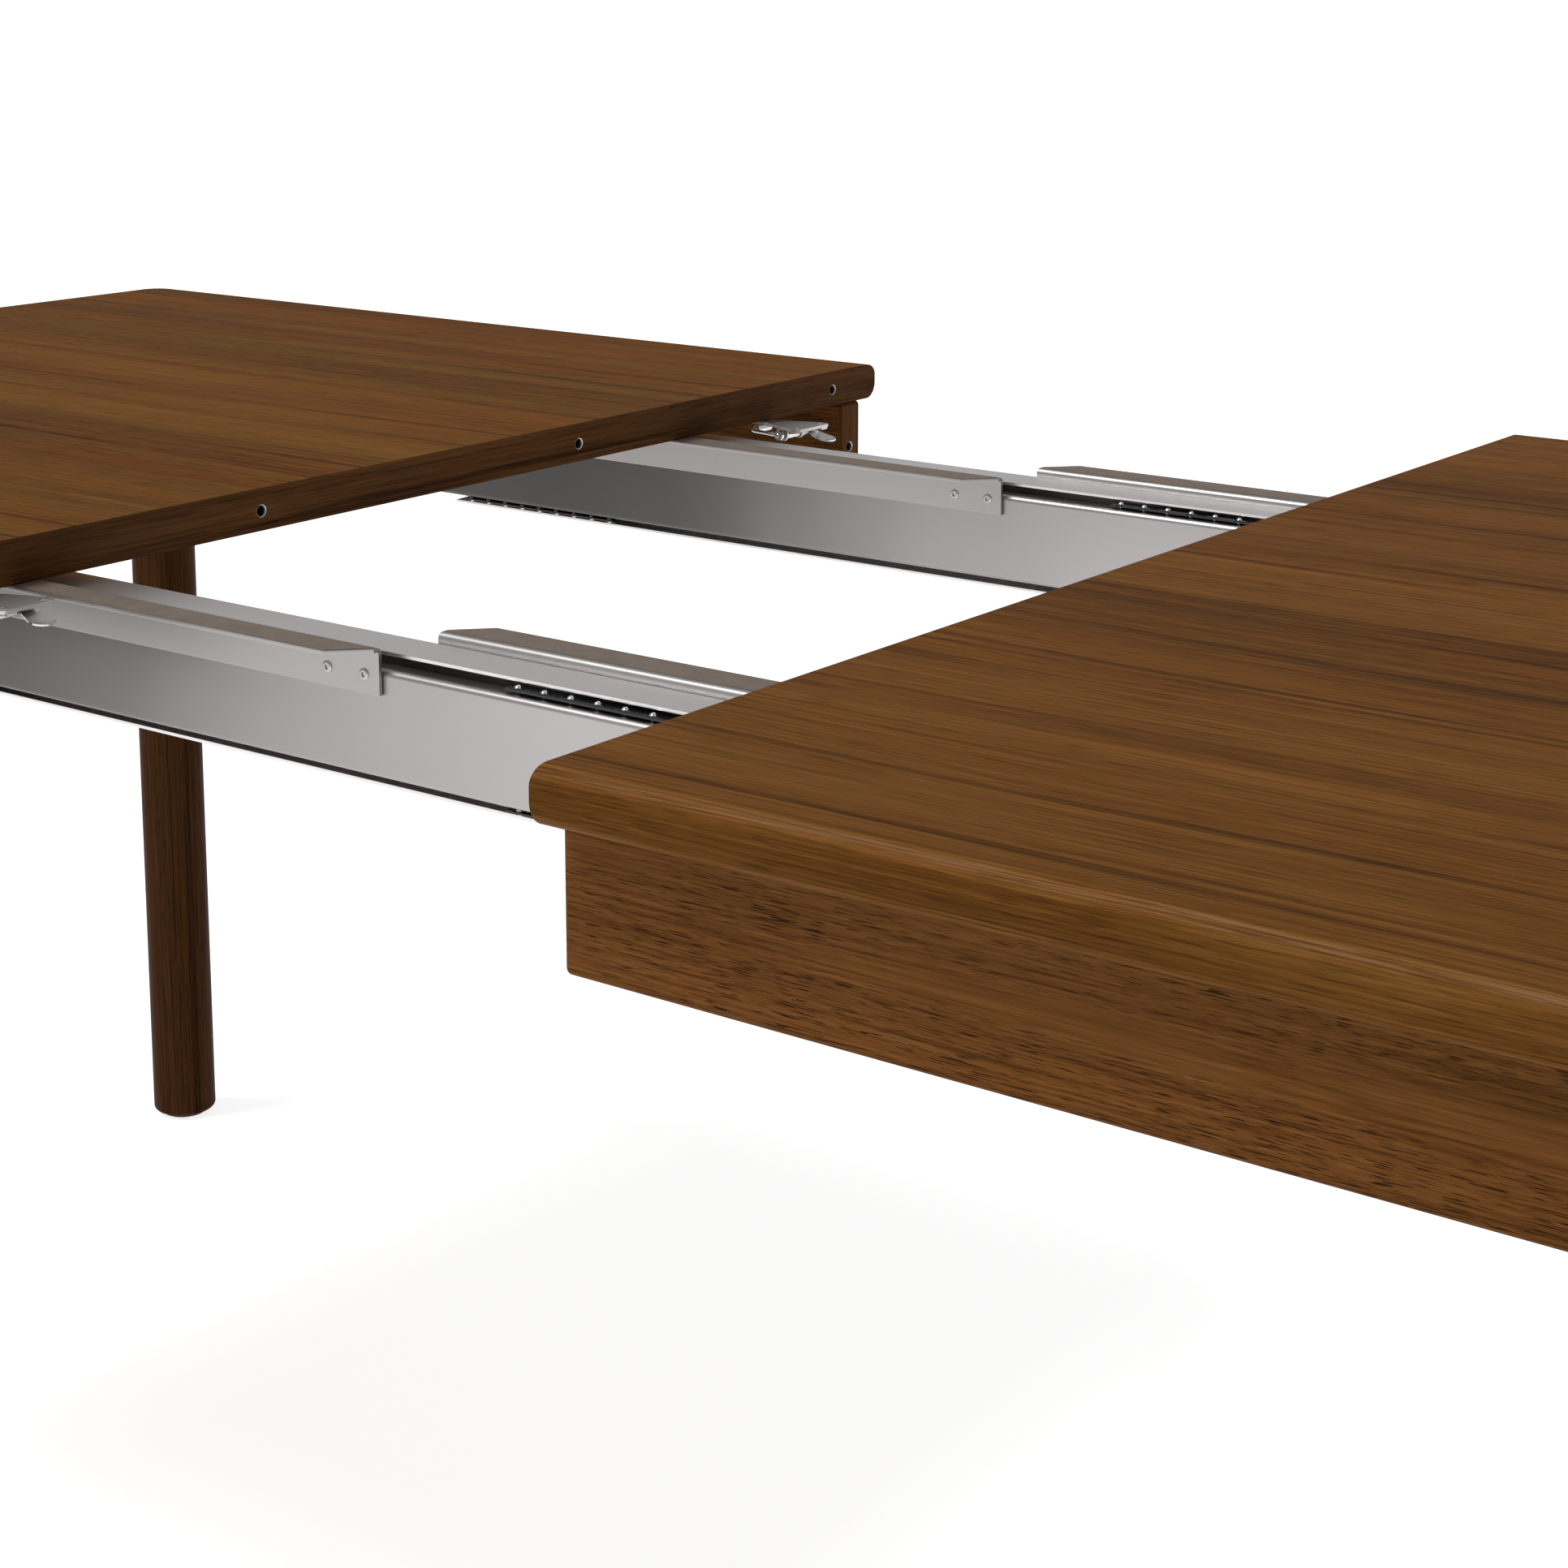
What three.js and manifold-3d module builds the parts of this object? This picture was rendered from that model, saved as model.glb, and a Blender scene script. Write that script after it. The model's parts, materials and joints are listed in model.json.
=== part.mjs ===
// Extendable dining table, pulled open by the width of its loose leaf.
// Millimetres, +Z up. The origin is on the floor under the middle of the open gap.
// +X is the pulling direction of the right half, +Y the far side, and side is -1 or +1 along X.
import * as THREE from "three";
import { mergeVertices } from "three/addons/utils/BufferGeometryUtils.js";
import Module from "manifold-3d";

const wasm = await Module();
wasm.setup();

// ---- Driving dimensions ----
const tableHeight = 750;
const tableWidth = 940;
const halfLength = 780;
const leafGap = 500;
const play = 0.3; // left between pieces that touch
const slidingPlay = 0.4; // left between pieces that slide past each other

// Tops
const topThickness = 25;
const topCornerRadius = 25;
const topEdgeRounding = 9;
const topUnderside = tableHeight - topThickness;
const splitX = leafGap / 2;
const outerX = splitX + halfLength;
const outerY = tableWidth / 2;

// Aprons
const apronInset = 18.5;
const apronThickness = 25;
const apronHeight = 64;
const apronRounding = 3;
const apronTop = topUnderside - play;
const apronBottom = topUnderside - apronHeight;
const apronOuterY = outerY - apronInset;
const apronInnerY = apronOuterY - apronThickness;
const apronOuterX = outerX - apronInset;
const apronInnerX = apronOuterX - apronThickness;

// Legs, their corner braces and felt feet
const legRadius = 27.5;
const legInset = apronInset + legRadius - 0.5;
const legX = outerX - legInset;
const legY = outerY - legInset;
const legFootRounding = 4;
const legSides = 32;
const footRadius = 20;
const footThickness = 3;
const braceWidth = 30;
const braceReach = 51;
const braceHeight = 56;

// Ball-bearing slides, measured from the slide's middle line at Y = slideY
const slideY = 276;
const sheet = 2; // steel thickness of the rails
const bracketSheet = 2.3;
const railEndX = 980;
const railInnerEndX = 480;
const outerRail = { openEdge: -9.5, web: 19.5, bottom: 651, top: 720 };
const innerRail = { openEdge: -5.5, web: -17.7, bottom: 658, top: 713 };
const railBend = 3.2; // outside radius of a rail's bends
const bracketTop = topUnderside - slidingPlay;
const bracketEndX = 940;
const leftBracket = { plate: -18, flange: 20, bottom: 700.3, endX: -2 };
const rightBracket = { plate: 19.8, flange: 22, bottom: 700.3, endX: -1 };
const bracketChamfer = 17;
const bracketBend = 3;

// Ball cages: a folded strip with a row of balls above and below the inner rail
const ballRadius = 2.2;
const ballPitch = 16.3;
const ballOffset = -11.5;
const cageSheet = 1.2;
const cageFront = -14.8;
const cageBack = -3.3;
const cageMargin = 6; // strip beyond the last ball
const upperBallZ = (innerRail.top + outerRail.top - sheet) / 2;
const lowerBallZ = (innerRail.bottom + outerRail.bottom + sheet) / 2;
const cageRows = [
  { end: "left", firstBallX: -462.4, balls: 9 },
  { end: "right", firstBallX: 80, balls: 12 },
];

// Alignment pins and their metal sleeves
const pinRadius = 2.8;
const topPinReach = 14;
const apronPinReach = 7;
const pinTip = 1;
const pinDepth = 16;
const sleeveInner = 3.3;
const sleeveOuter = 3.8;
const sleeveInset = 0.1;
const sleeveLength = 14;
const topPinZ = topUnderside + 11.5;
const apronPinZ = 692;
const topPinYs = [-417.5, -138.5, 138.5, 417.5];
const apronPinY = 438.5;

// Toggle latches: u runs from the split face into the gap, w down from the top's underside
const latchY = 338.5;
const latchSheet = 2;
const latchTop = -slidingPlay;
const latchTongue = { u: -44, half: 6 };
const latchPlate = { flareU: 4, wideU: 34, endU: 42, half: 17.5, corner: 3, lipBottom: -4 };
const latchPivot = { u: 21, w: -6.8 };
const latchPin = { radius: 1.5, half: 15.8 };
const latchEye = { inner: 2, outer: 3.6 };
const latchEar = { inner: 8.2, outer: 9.8, radius: 4.6 };
const lever = { half: 7, sheet: 1.6, shoulderU: 32, neckU: 40, neckHalf: 5, neckTop: -3.4 };
const spoon = { radius: 7, tipU: 55, tipTop: -8.4 };
const bail = { arm: 13.2, wire: 1.3, reach: 24, crossW: -5.6, eyeHalf: 1.2 };
const roller = { inner: 1.75, outer: 2.6, half: 7.5 };
const keeper = { startU: 45.2, endU: 76, half: 14, prongInner: 9.4, prongOuter: 11.4, bottom: -10 };

// ---- Materials ----
function finish(color, roughness, metalness) {
  return new THREE.MeshStandardMaterial({ color, roughness, metalness });
}
const walnutTop = finish(0x684020, 0.45, 0);
const walnutApron = finish(0x55301a, 0.5, 0);
const walnutLeg = finish(0x45261a, 0.5, 0);
const railSteel = finish(0xb4b0b0, 0.35, 0.9);
const bracketSteel = finish(0xa8a2a0, 0.35, 0.9);
const chrome = finish(0xd0d0d0, 0.15, 1);
const cageBlack = finish(0x101010, 0.6, 0.2);
const felt = finish(0x2c2a28, 0.95, 0);

// ---- Solid helpers ----
function toSolid(geometry) {
  const bare = geometry.clone();
  bare.deleteAttribute("normal");
  bare.deleteAttribute("uv");
  const merged = mergeVertices(bare, 1e-3);
  const vertProperties = merged.attributes.position.array;
  const triVerts = new Uint32Array(merged.index.array);
  return new wasm.Manifold(new wasm.Mesh({ numProp: 3, vertProperties, triVerts }));
}

function toGeometry(solid) {
  const { vertProperties, triVerts } = solid.getMesh();
  const geometry = new THREE.BufferGeometry();
  geometry.setAttribute("position", new THREE.BufferAttribute(vertProperties, 3));
  geometry.setIndex(new THREE.BufferAttribute(triVerts, 1));
  return geometry;
}

function combine(operation, first, others) {
  const reduce = (total, piece) => total[operation](toSolid(piece));
  return toGeometry(others.reduce(reduce, toSolid(first)));
}
const cut = (first, ...tools) => combine("subtract", first, tools);
const join = (first, ...others) => combine("add", first, others);
const common = (first, ...others) => combine("intersect", first, others);

function box(x0, x1, y0, y1, z0, z1) {
  const geometry = new THREE.BoxGeometry(Math.abs(x1 - x0), Math.abs(y1 - y0), Math.abs(z1 - z0));
  return geometry.translate((x0 + x1) / 2, (y0 + y1) / 2, (z0 + z1) / 2);
}

const curveSteps = 4;
function extrude(shape, depth) {
  return new THREE.ExtrudeGeometry(shape, { depth, bevelEnabled: false, curveSegments: curveSteps });
}

// The shape's (x, y) are the part's (Y, Z)
function alongX(shape, x0, x1) {
  const basis = new THREE.Matrix4().makeBasis(
    new THREE.Vector3(0, 1, 0),
    new THREE.Vector3(0, 0, 1),
    new THREE.Vector3(1, 0, 0),
  );
  return extrude(shape, x1 - x0).applyMatrix4(basis).translate(x0, 0, 0);
}

// The shape's (x, y) are the part's (X, Z)
function alongY(shape, y0, y1) {
  return extrude(shape, y1 - y0).rotateX(Math.PI / 2).translate(0, y1, 0);
}

function rodX(radius, x0, x1, y, z, sides) {
  const geometry = new THREE.CylinderGeometry(radius, radius, Math.abs(x1 - x0), sides);
  return geometry.rotateZ(Math.PI / 2).translate((x0 + x1) / 2, y, z);
}

function rodY(radius, y0, y1, x, z, sides) {
  const geometry = new THREE.CylinderGeometry(radius, radius, Math.abs(y1 - y0), sides);
  return geometry.translate(x, (y0 + y1) / 2, z);
}

function polygon(points) {
  return new THREE.Shape(points.map(([x, y]) => new THREE.Vector2(x, y)));
}

const group = new THREE.Group();
group.name = "extendable_dining_table";

function add(name, geometry, material) {
  const mesh = new THREE.Mesh(geometry, material.clone());
  mesh.name = name;
  group.add(mesh);
  return mesh;
}

const halves = [
  { name: "left", side: -1 },
  { name: "right", side: 1 },
];
const edges = [
  { name: "near", way: -1 },
  { name: "far", way: 1 },
];

// ---- Tops: rounded all round but straight and square at the split ----
const boreSides = 16;

function roundedRectangle(x0, x1, y0, y1, radius) {
  const shape = new THREE.Shape();
  shape.moveTo(x0 + radius, y0);
  shape.lineTo(x1 - radius, y0);
  shape.absarc(x1 - radius, y0 + radius, radius, -Math.PI / 2, 0);
  shape.lineTo(x1, y1 - radius);
  shape.absarc(x1 - radius, y1 - radius, radius, 0, Math.PI / 2);
  shape.lineTo(x0 + radius, y1);
  shape.absarc(x0 + radius, y1 - radius, radius, Math.PI / 2, Math.PI);
  shape.lineTo(x0, y0 + radius);
  shape.absarc(x0 + radius, y0 + radius, radius, Math.PI, 1.5 * Math.PI);
  return shape;
}

// Bores along X that open on the split face: sleeves on the left half, pins on the right
function splitBore(side, y, z) {
  const radius = side < 0 ? sleeveOuter + slidingPlay : pinRadius + slidingPlay;
  const depth = side < 0 ? sleeveLength + play : pinDepth + play;
  return rodX(radius, side * (splitX - 1), side * (splitX + depth), y, z, boreSides);
}

function topHalf(side) {
  const inset = topEdgeRounding;
  const outline = roundedRectangle(
    -outerX + inset,
    outerX - inset,
    -outerY + inset,
    outerY - inset,
    topCornerRadius - inset,
  );
  const slab = new THREE.ExtrudeGeometry(outline, {
    depth: topThickness - 2 * inset,
    bevelThickness: inset,
    bevelSize: inset,
    bevelSegments: 4,
    curveSegments: curveSteps,
  }).translate(0, 0, topUnderside + inset);
  const ends = [side * splitX, -side * (outerX + 1)];
  const rest = box(ends[0], ends[1], -outerY - 1, outerY + 1, topUnderside - 1, tableHeight + 1);
  return cut(slab, rest, ...topPinYs.map((y) => splitBore(side, y, topPinZ)));
}

// ---- Aprons ----
function sideApron(side, way) {
  const inner = way * apronInnerY;
  const outer = way * apronOuterY;
  const y0 = Math.min(inner, outer);
  const y1 = Math.max(inner, outer);
  const section = new THREE.Shape();
  section.moveTo(y1, apronTop);
  section.lineTo(y0, apronTop);
  section.lineTo(y0, apronBottom + apronRounding);
  section.quadraticCurveTo(y0, apronBottom, y0 + apronRounding, apronBottom);
  section.lineTo(y1 - apronRounding, apronBottom);
  section.quadraticCurveTo(y1, apronBottom, y1, apronBottom + apronRounding);
  const ends = [side * splitX, side * legX].sort((a, b) => a - b);
  const board = alongX(section, ends[0], ends[1]);
  return cut(board, legSocket(side, way), splitBore(side, way * apronPinY, apronPinZ));
}

function endApron(side) {
  const ends = [side * apronInnerX, side * apronOuterX];
  const board = box(ends[0], ends[1], -legY, legY, apronBottom, apronTop);
  return cut(board, legSocket(side, -1), legSocket(side, 1));
}

// The aprons' ends are coped to the round legs
function legSocket(side, way) {
  const socket = new THREE.CylinderGeometry(legRadius + play, legRadius + play, tableHeight, legSides);
  return socket.rotateX(Math.PI / 2).translate(side * legX, way * legY, tableHeight / 2);
}

// ---- Legs, corner braces and feet ----
function leg(side, way) {
  const bottom = footThickness + play;
  const profile = [new THREE.Vector2(0, bottom)];
  for (let step = 0; step <= curveSteps; step += 1) {
    const angle = (step / curveSteps) * (Math.PI / 2);
    const radius = legRadius - legFootRounding * (1 - Math.sin(angle));
    profile.push(new THREE.Vector2(radius, bottom + legFootRounding * (1 - Math.cos(angle))));
  }
  profile.push(new THREE.Vector2(legRadius, apronTop));
  profile.push(new THREE.Vector2(0, apronTop));
  const turned = new THREE.LatheGeometry(profile, legSides).rotateX(Math.PI / 2);
  return turned.translate(side * legX, way * legY, 0);
}

function cornerBrace(side, way) {
  const x = apronInnerX - play;
  const y = apronInnerY - play;
  const corners = [
    [x, y - braceReach],
    [x - braceReach, y],
    [x - braceReach - braceWidth, y],
    [x, y - braceReach - braceWidth],
  ];
  const outline = polygon(corners.map(([cornerX, cornerY]) => [side * cornerX, way * cornerY]));
  return extrude(outline, braceHeight).translate(0, 0, apronTop - braceHeight);
}

function foot(side, way) {
  const disc = new THREE.CylinderGeometry(footRadius, footRadius, footThickness, 24);
  return disc.rotateX(Math.PI / 2).translate(side * legX, way * legY, footThickness / 2);
}

// ---- Slides ----
// A folded channel: its web at one side, its two flanges ending at the open edge
function channel({ openEdge, web, bottom, top, thickness, bend }) {
  const way = Math.sign(web - openEdge);
  const bendY = web - way * bend;
  const insideY = web - way * thickness;
  const shape = new THREE.Shape();
  shape.moveTo(openEdge, bottom);
  shape.lineTo(bendY, bottom);
  shape.quadraticCurveTo(web, bottom, web, bottom + bend);
  shape.lineTo(web, top - bend);
  shape.quadraticCurveTo(web, top, bendY, top);
  shape.lineTo(openEdge, top);
  shape.lineTo(openEdge, top - thickness);
  shape.lineTo(bendY, top - thickness);
  shape.quadraticCurveTo(insideY, top - thickness, insideY, top - bend);
  shape.lineTo(insideY, bottom + bend);
  shape.quadraticCurveTo(insideY, bottom + thickness, bendY, bottom + thickness);
  shape.lineTo(openEdge, bottom + thickness);
  return shape;
}

function slideRail(section, x0, x1, way) {
  const outline = channel({ ...section, thickness: sheet, bend: railBend });
  return alongX(outline, x0, x1).translate(0, way * slideY, 0);
}

// An angle: its plate stands against the rail, its flange carries the top, its free corner is cut off
function bracket({ plate, flange, bottom, endX }, outward, x0, x1, way) {
  const face = plate + outward * bracketSheet;
  const edge = face + outward * flange;
  const bendY = plate + outward * bracketBend;
  const section = new THREE.Shape();
  section.moveTo(plate, bottom);
  section.lineTo(plate, bracketTop - bracketBend);
  section.quadraticCurveTo(plate, bracketTop, bendY, bracketTop);
  section.lineTo(edge, bracketTop);
  section.lineTo(edge, bracketTop - bracketSheet);
  section.lineTo(face, bracketTop - bracketSheet);
  section.lineTo(face, bottom);
  const inward = Math.sign(x0 + x1);
  const corner = polygon([
    [endX - inward, edge + outward],
    [endX + inward * bracketChamfer, edge + outward],
    [endX + inward * bracketChamfer, edge],
    [endX, edge - outward * bracketChamfer],
    [endX - inward, edge - outward * bracketChamfer],
  ]);
  const cutter = extrude(corner, 2 * bracketSheet).translate(0, 0, bracketTop - 1.5 * bracketSheet);
  return cut(alongX(section, x0, x1), cutter).translate(0, way * slideY, 0);
}

function ballCage({ firstBallX, balls }, way) {
  const lastBallX = firstBallX + (balls - 1) * ballPitch;
  const strip = {
    openEdge: cageFront,
    web: cageBack,
    bottom: lowerBallZ - cageSheet / 2,
    top: upperBallZ + cageSheet / 2,
    thickness: cageSheet,
    bend: 1.5 * cageSheet,
  };
  const pieces = [];
  for (let index = 0; index < balls; index += 1) {
    for (const z of [lowerBallZ, upperBallZ]) {
      const ball = new THREE.IcosahedronGeometry(ballRadius);
      pieces.push(ball.translate(firstBallX + index * ballPitch, ballOffset, z));
    }
  }
  const folded = alongX(channel(strip), firstBallX - cageMargin, lastBallX + cageMargin);
  return join(folded, ...pieces).translate(0, way * slideY, 0);
}

// ---- Alignment pins and sleeves ----
function alignmentPin(y, z, reach) {
  const profile = [
    new THREE.Vector2(0, -reach),
    new THREE.Vector2(pinRadius - pinTip, -reach),
    new THREE.Vector2(pinRadius, pinTip - reach),
    new THREE.Vector2(pinRadius, pinDepth),
    new THREE.Vector2(0, pinDepth),
  ];
  return new THREE.LatheGeometry(profile, boreSides).rotateZ(-Math.PI / 2).translate(splitX, y, z);
}

function sleeve(y, z) {
  const mouth = -splitX - sleeveInset;
  const end = -splitX - sleeveLength;
  const tube = rodX(sleeveOuter, mouth, end, y, z, boreSides);
  return cut(tube, rodX(sleeveInner, mouth + 1, end - 1, y, z, boreSides));
}

// ---- Toggle latches, in their own (u, v, w) ----
function onLatch(geometry, splitPlane, way) {
  return geometry.translate(splitPlane, way * latchY, topUnderside);
}

function pivotRod(radius, v0, v1, sides) {
  return rodY(radius, v0, v1, latchPivot.u, latchPivot.w, sides);
}

function mirroredOutline(points) {
  return polygon([...points, ...points.map(([u, v]) => [u, -v]).reverse()]);
}

function latchBase() {
  const { flareU, wideU, endU, half, corner, lipBottom } = latchPlate;
  const outline = mirroredOutline([
    [latchTongue.u, latchTongue.half],
    [flareU, latchTongue.half],
    [wideU, half],
    [endU - corner, half],
    [endU, half - corner],
  ]);
  const pieces = [extrude(outline, latchSheet).translate(0, 0, latchTop - latchSheet)];
  for (const v of [-1, 1]) {
    const ear = new THREE.Shape();
    ear.moveTo(latchPivot.u + latchEar.radius, latchTop - latchSheet / 2);
    ear.lineTo(latchPivot.u - latchEar.radius, latchTop - latchSheet / 2);
    ear.absarc(latchPivot.u, latchPivot.w, latchEar.radius, Math.PI, 2 * Math.PI);
    const ends = [v * latchEar.inner, v * latchEar.outer].sort((a, b) => a - b);
    pieces.push(alongY(ear, ends[0], ends[1]));
    const lipTop = latchTop - latchSheet / 2;
    pieces.push(box(endU - latchSheet, endU, v * latchEar.inner, v * (half - corner), lipBottom, lipTop));
  }
  return cut(join(...pieces), pivotRod(latchEye.inner, -half, half, boreSides));
}

// A pressed lever: a barrel on the pin, an arm to the lip and a spoon that dips below it
function latchLever() {
  const { half, shoulderU, neckU, neckHalf, neckTop } = lever;
  const armTop = latchPivot.w + lever.sheet / 2;
  const side = polygon([
    [latchPivot.u, armTop],
    [neckU, neckTop],
    [spoon.tipU, spoon.tipTop],
    [spoon.tipU, spoon.tipTop - lever.sheet],
    [neckU, neckTop - lever.sheet],
    [latchPivot.u, armTop - lever.sheet],
  ]);
  const plan = new THREE.Shape();
  plan.moveTo(latchPivot.u - latchEye.outer, half);
  plan.lineTo(latchPivot.u - latchEye.outer, -half);
  plan.lineTo(shoulderU, -half);
  plan.lineTo(neckU, -neckHalf);
  plan.absarc(spoon.tipU - spoon.radius, 0, spoon.radius, -Math.PI / 2, Math.PI / 2);
  plan.lineTo(neckU, neckHalf);
  plan.lineTo(shoulderU, half);
  const barrel = pivotRod(latchEye.outer, -half, half, boreSides);
  const strip = join(barrel, alongY(side, -half, half));
  const column = extrude(plan, 4 * half).translate(0, 0, latchPivot.w - 2 * half);
  return cut(common(strip, column), pivotRod(latchEye.inner, -2 * half, 2 * half, boreSides));
}

// A wire loop: its arms tilt up a little from the pin to the crossbar
const crossbarU = latchPivot.u - bail.reach;
const wireSides = 10;

function latchBail() {
  const rise = bail.crossW - latchPivot.w;
  const tilt = Math.atan2(rise, bail.reach);
  const inner = latchEye.inner + bail.wire;
  const armEnds = [-Math.hypot(rise, bail.reach), -inner];
  const pieces = [rodY(bail.wire, -bail.arm, bail.arm, crossbarU, bail.crossW, wireSides)];
  for (const v of [-bail.arm, bail.arm]) {
    const arm = rodX(bail.wire, armEnds[0], armEnds[1], 0, 0, wireSides).rotateY(tilt);
    pieces.push(arm.translate(latchPivot.u, v, latchPivot.w));
    pieces.push(new THREE.SphereGeometry(bail.wire, 8, 6).translate(crossbarU, v, bail.crossW));
    pieces.push(pivotRod(latchEye.outer, v - bail.eyeHalf, v + bail.eyeHalf, boreSides));
  }
  return cut(join(...pieces), pivotRod(latchEye.inner, -2 * bail.arm, 2 * bail.arm, boreSides));
}

function latchRoller() {
  const { inner, outer, half } = roller;
  const drum = rodY(outer, -half, half, crossbarU, bail.crossW, boreSides);
  return cut(drum, rodY(inner, -2 * half, 2 * half, crossbarU, bail.crossW, boreSides));
}

function latchKeeper() {
  const { startU, endU, half, prongInner, prongOuter, bottom } = keeper;
  const plate = box(startU, endU, -half, half, latchTop - latchSheet, latchTop);
  const prong = (v) => {
    const prongTop = latchTop - latchSheet / 2;
    return box(startU, startU + latchSheet, v * prongInner, v * prongOuter, bottom, prongTop);
  };
  return join(plate, prong(-1), prong(1));
}

// ---- Assembly ----
for (const half of halves) {
  add(`${half.name}_top`, topHalf(half.side), walnutTop);
  add(`${half.name}_end_apron`, endApron(half.side), walnutApron);
  for (const edge of edges) {
    const name = `${half.name}_${edge.name}`;
    add(`${name}_apron`, sideApron(half.side, edge.way), walnutApron);
    add(`${name}_leg`, leg(half.side, edge.way), walnutLeg);
    add(`${name}_corner_brace`, cornerBrace(half.side, edge.way), walnutApron);
    add(`${name}_felt_foot`, foot(half.side, edge.way), felt);
  }
}

for (const { name, way } of edges) {
  add(`${name}_inner_rail`, slideRail(innerRail, -railEndX, railInnerEndX, way), railSteel);
  add(`${name}_outer_rail`, slideRail(outerRail, -railInnerEndX, railEndX, way), railSteel);
  add(`${name}_left_bracket`, bracket(leftBracket, -1, -bracketEndX, leftBracket.endX, way), bracketSteel);
  add(`${name}_right_bracket`, bracket(rightBracket, 1, rightBracket.endX, bracketEndX, way), bracketSteel);
  for (const row of cageRows) {
    add(`${name}_${row.end}_ball_cage`, ballCage(row, way), cageBlack);
  }
  add(`${name}_latch_base`, onLatch(latchBase(), -splitX, way), chrome);
  const hingePin = pivotRod(latchPin.radius, -latchPin.half, latchPin.half, 12);
  add(`${name}_latch_pin`, onLatch(hingePin, -splitX, way), chrome);
  add(`${name}_latch_lever`, onLatch(latchLever(), -splitX, way), chrome);
  add(`${name}_latch_bail`, onLatch(latchBail(), -splitX, way), chrome);
  add(`${name}_latch_roller`, onLatch(latchRoller(), -splitX, way), chrome);
  add(`${name}_latch_keeper`, onLatch(latchKeeper(), splitX, way), chrome);
  add(`${name}_apron_pin`, alignmentPin(way * apronPinY, apronPinZ, apronPinReach), chrome);
  add(`${name}_apron_sleeve`, sleeve(way * apronPinY, apronPinZ), chrome);
}

topPinYs.forEach((y, index) => {
  add(`top_pin_${index + 1}`, alignmentPin(y, topPinZ, topPinReach), chrome);
  add(`top_sleeve_${index + 1}`, sleeve(y, topPinZ), chrome);
});

export default group;
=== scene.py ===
import json
import math

import bpy
import bmesh
from mathutils import Matrix, Vector


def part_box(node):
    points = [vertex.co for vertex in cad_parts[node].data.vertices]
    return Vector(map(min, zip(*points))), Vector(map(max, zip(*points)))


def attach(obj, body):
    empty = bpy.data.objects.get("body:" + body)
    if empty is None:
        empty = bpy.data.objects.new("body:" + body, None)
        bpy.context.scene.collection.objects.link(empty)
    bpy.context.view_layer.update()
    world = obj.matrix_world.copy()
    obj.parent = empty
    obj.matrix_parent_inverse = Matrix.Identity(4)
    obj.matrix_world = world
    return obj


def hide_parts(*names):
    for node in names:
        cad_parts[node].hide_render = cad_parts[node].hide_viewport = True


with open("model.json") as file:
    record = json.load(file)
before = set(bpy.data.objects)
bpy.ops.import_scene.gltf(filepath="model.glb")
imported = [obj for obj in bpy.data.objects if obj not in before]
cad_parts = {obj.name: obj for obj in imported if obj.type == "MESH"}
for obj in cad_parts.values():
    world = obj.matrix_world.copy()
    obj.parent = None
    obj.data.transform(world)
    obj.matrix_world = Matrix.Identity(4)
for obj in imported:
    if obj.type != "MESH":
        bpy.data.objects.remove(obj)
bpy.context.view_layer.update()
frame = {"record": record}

# The walnut table pulled open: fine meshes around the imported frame, in metres.
# +X is the pulling direction of the right half, +Y the far side, side is -1 or +1 along X.

MM = 0.001
record = frame["record"]
body_of = {node: body for body, nodes in record["behaviour"]["bodies"].items() for node in nodes}
HALVES = (("left", -1), ("right", 1))
EDGES = (("near", -1), ("far", 1))


# ---- Camera ----
def make_camera():
    data = bpy.data.cameras.new("camera")
    data.sensor_width = 36
    data.lens = 67.5
    data.shift_y = -0.2
    camera = bpy.data.objects.new("camera", data)
    camera.location = (0.9781, -1.2774, 1.0665)
    turn = math.radians(36.89)
    down = math.radians(10.53)
    camera.rotation_euler = (math.pi / 2 - down, 0, turn)
    bpy.context.scene.collection.objects.link(camera)
    bpy.context.scene.camera = camera


make_camera()


# ---- Sizes read from the frame ----
left_top_low, left_top_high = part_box("left_top")
right_top_low, right_top_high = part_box("right_top")
TOP_Z = left_top_high.z
UNDER_Z = left_top_low.z
SPLIT_X = right_top_low.x
OUTER_Y = left_top_high.y
WEB_OFFSET = 19.5 * MM  # the outer rail's web stands this far beyond the slide's middle line
SLIDE_Y = {}
for edge, way in EDGES:
    SLIDE_Y[edge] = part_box(f"{edge}_outer_rail")[1].y - WEB_OFFSET


# ---- Mesh helpers ----
def mesh_object(name, vertices, faces):
    mesh = bpy.data.meshes.new(name)
    mesh.from_pydata([tuple(v) for v in vertices], [], faces)
    mesh.update()
    obj = bpy.data.objects.new(name, mesh)
    bpy.context.scene.collection.objects.link(obj)
    face_out(obj)
    return obj


def face_out(obj):
    shell = bmesh.new()
    shell.from_mesh(obj.data)
    bmesh.ops.remove_doubles(shell, verts=shell.verts, dist=1e-7)
    bmesh.ops.recalc_face_normals(shell, faces=shell.faces)
    shell.to_mesh(obj.data)
    shell.free()


def loft(name, rings, loop=False):
    """A closed skin over rings of equal length: capped at both ends, or joined end to end by loop."""
    count = len(rings[0])
    vertices = [point for ring in rings for point in ring]
    faces = []
    pairs = len(rings) if loop else len(rings) - 1
    for index in range(pairs):
        here = index * count
        there = ((index + 1) % len(rings)) * count
        for k in range(count):
            after = (k + 1) % count
            faces.append((here + k, here + after, there + after, there + k))
    if not loop:
        faces.append(tuple(range(count)))
        faces.append(tuple((len(rings) - 1) * count + k for k in range(count)))
    return mesh_object(name, vertices, faces)


def settle(obj):
    """Applies the object's modifiers."""
    graph = bpy.context.evaluated_depsgraph_get()
    mesh = bpy.data.meshes.new_from_object(obj.evaluated_get(graph))
    obj.modifiers.clear()
    obj.data = mesh
    return obj


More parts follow.
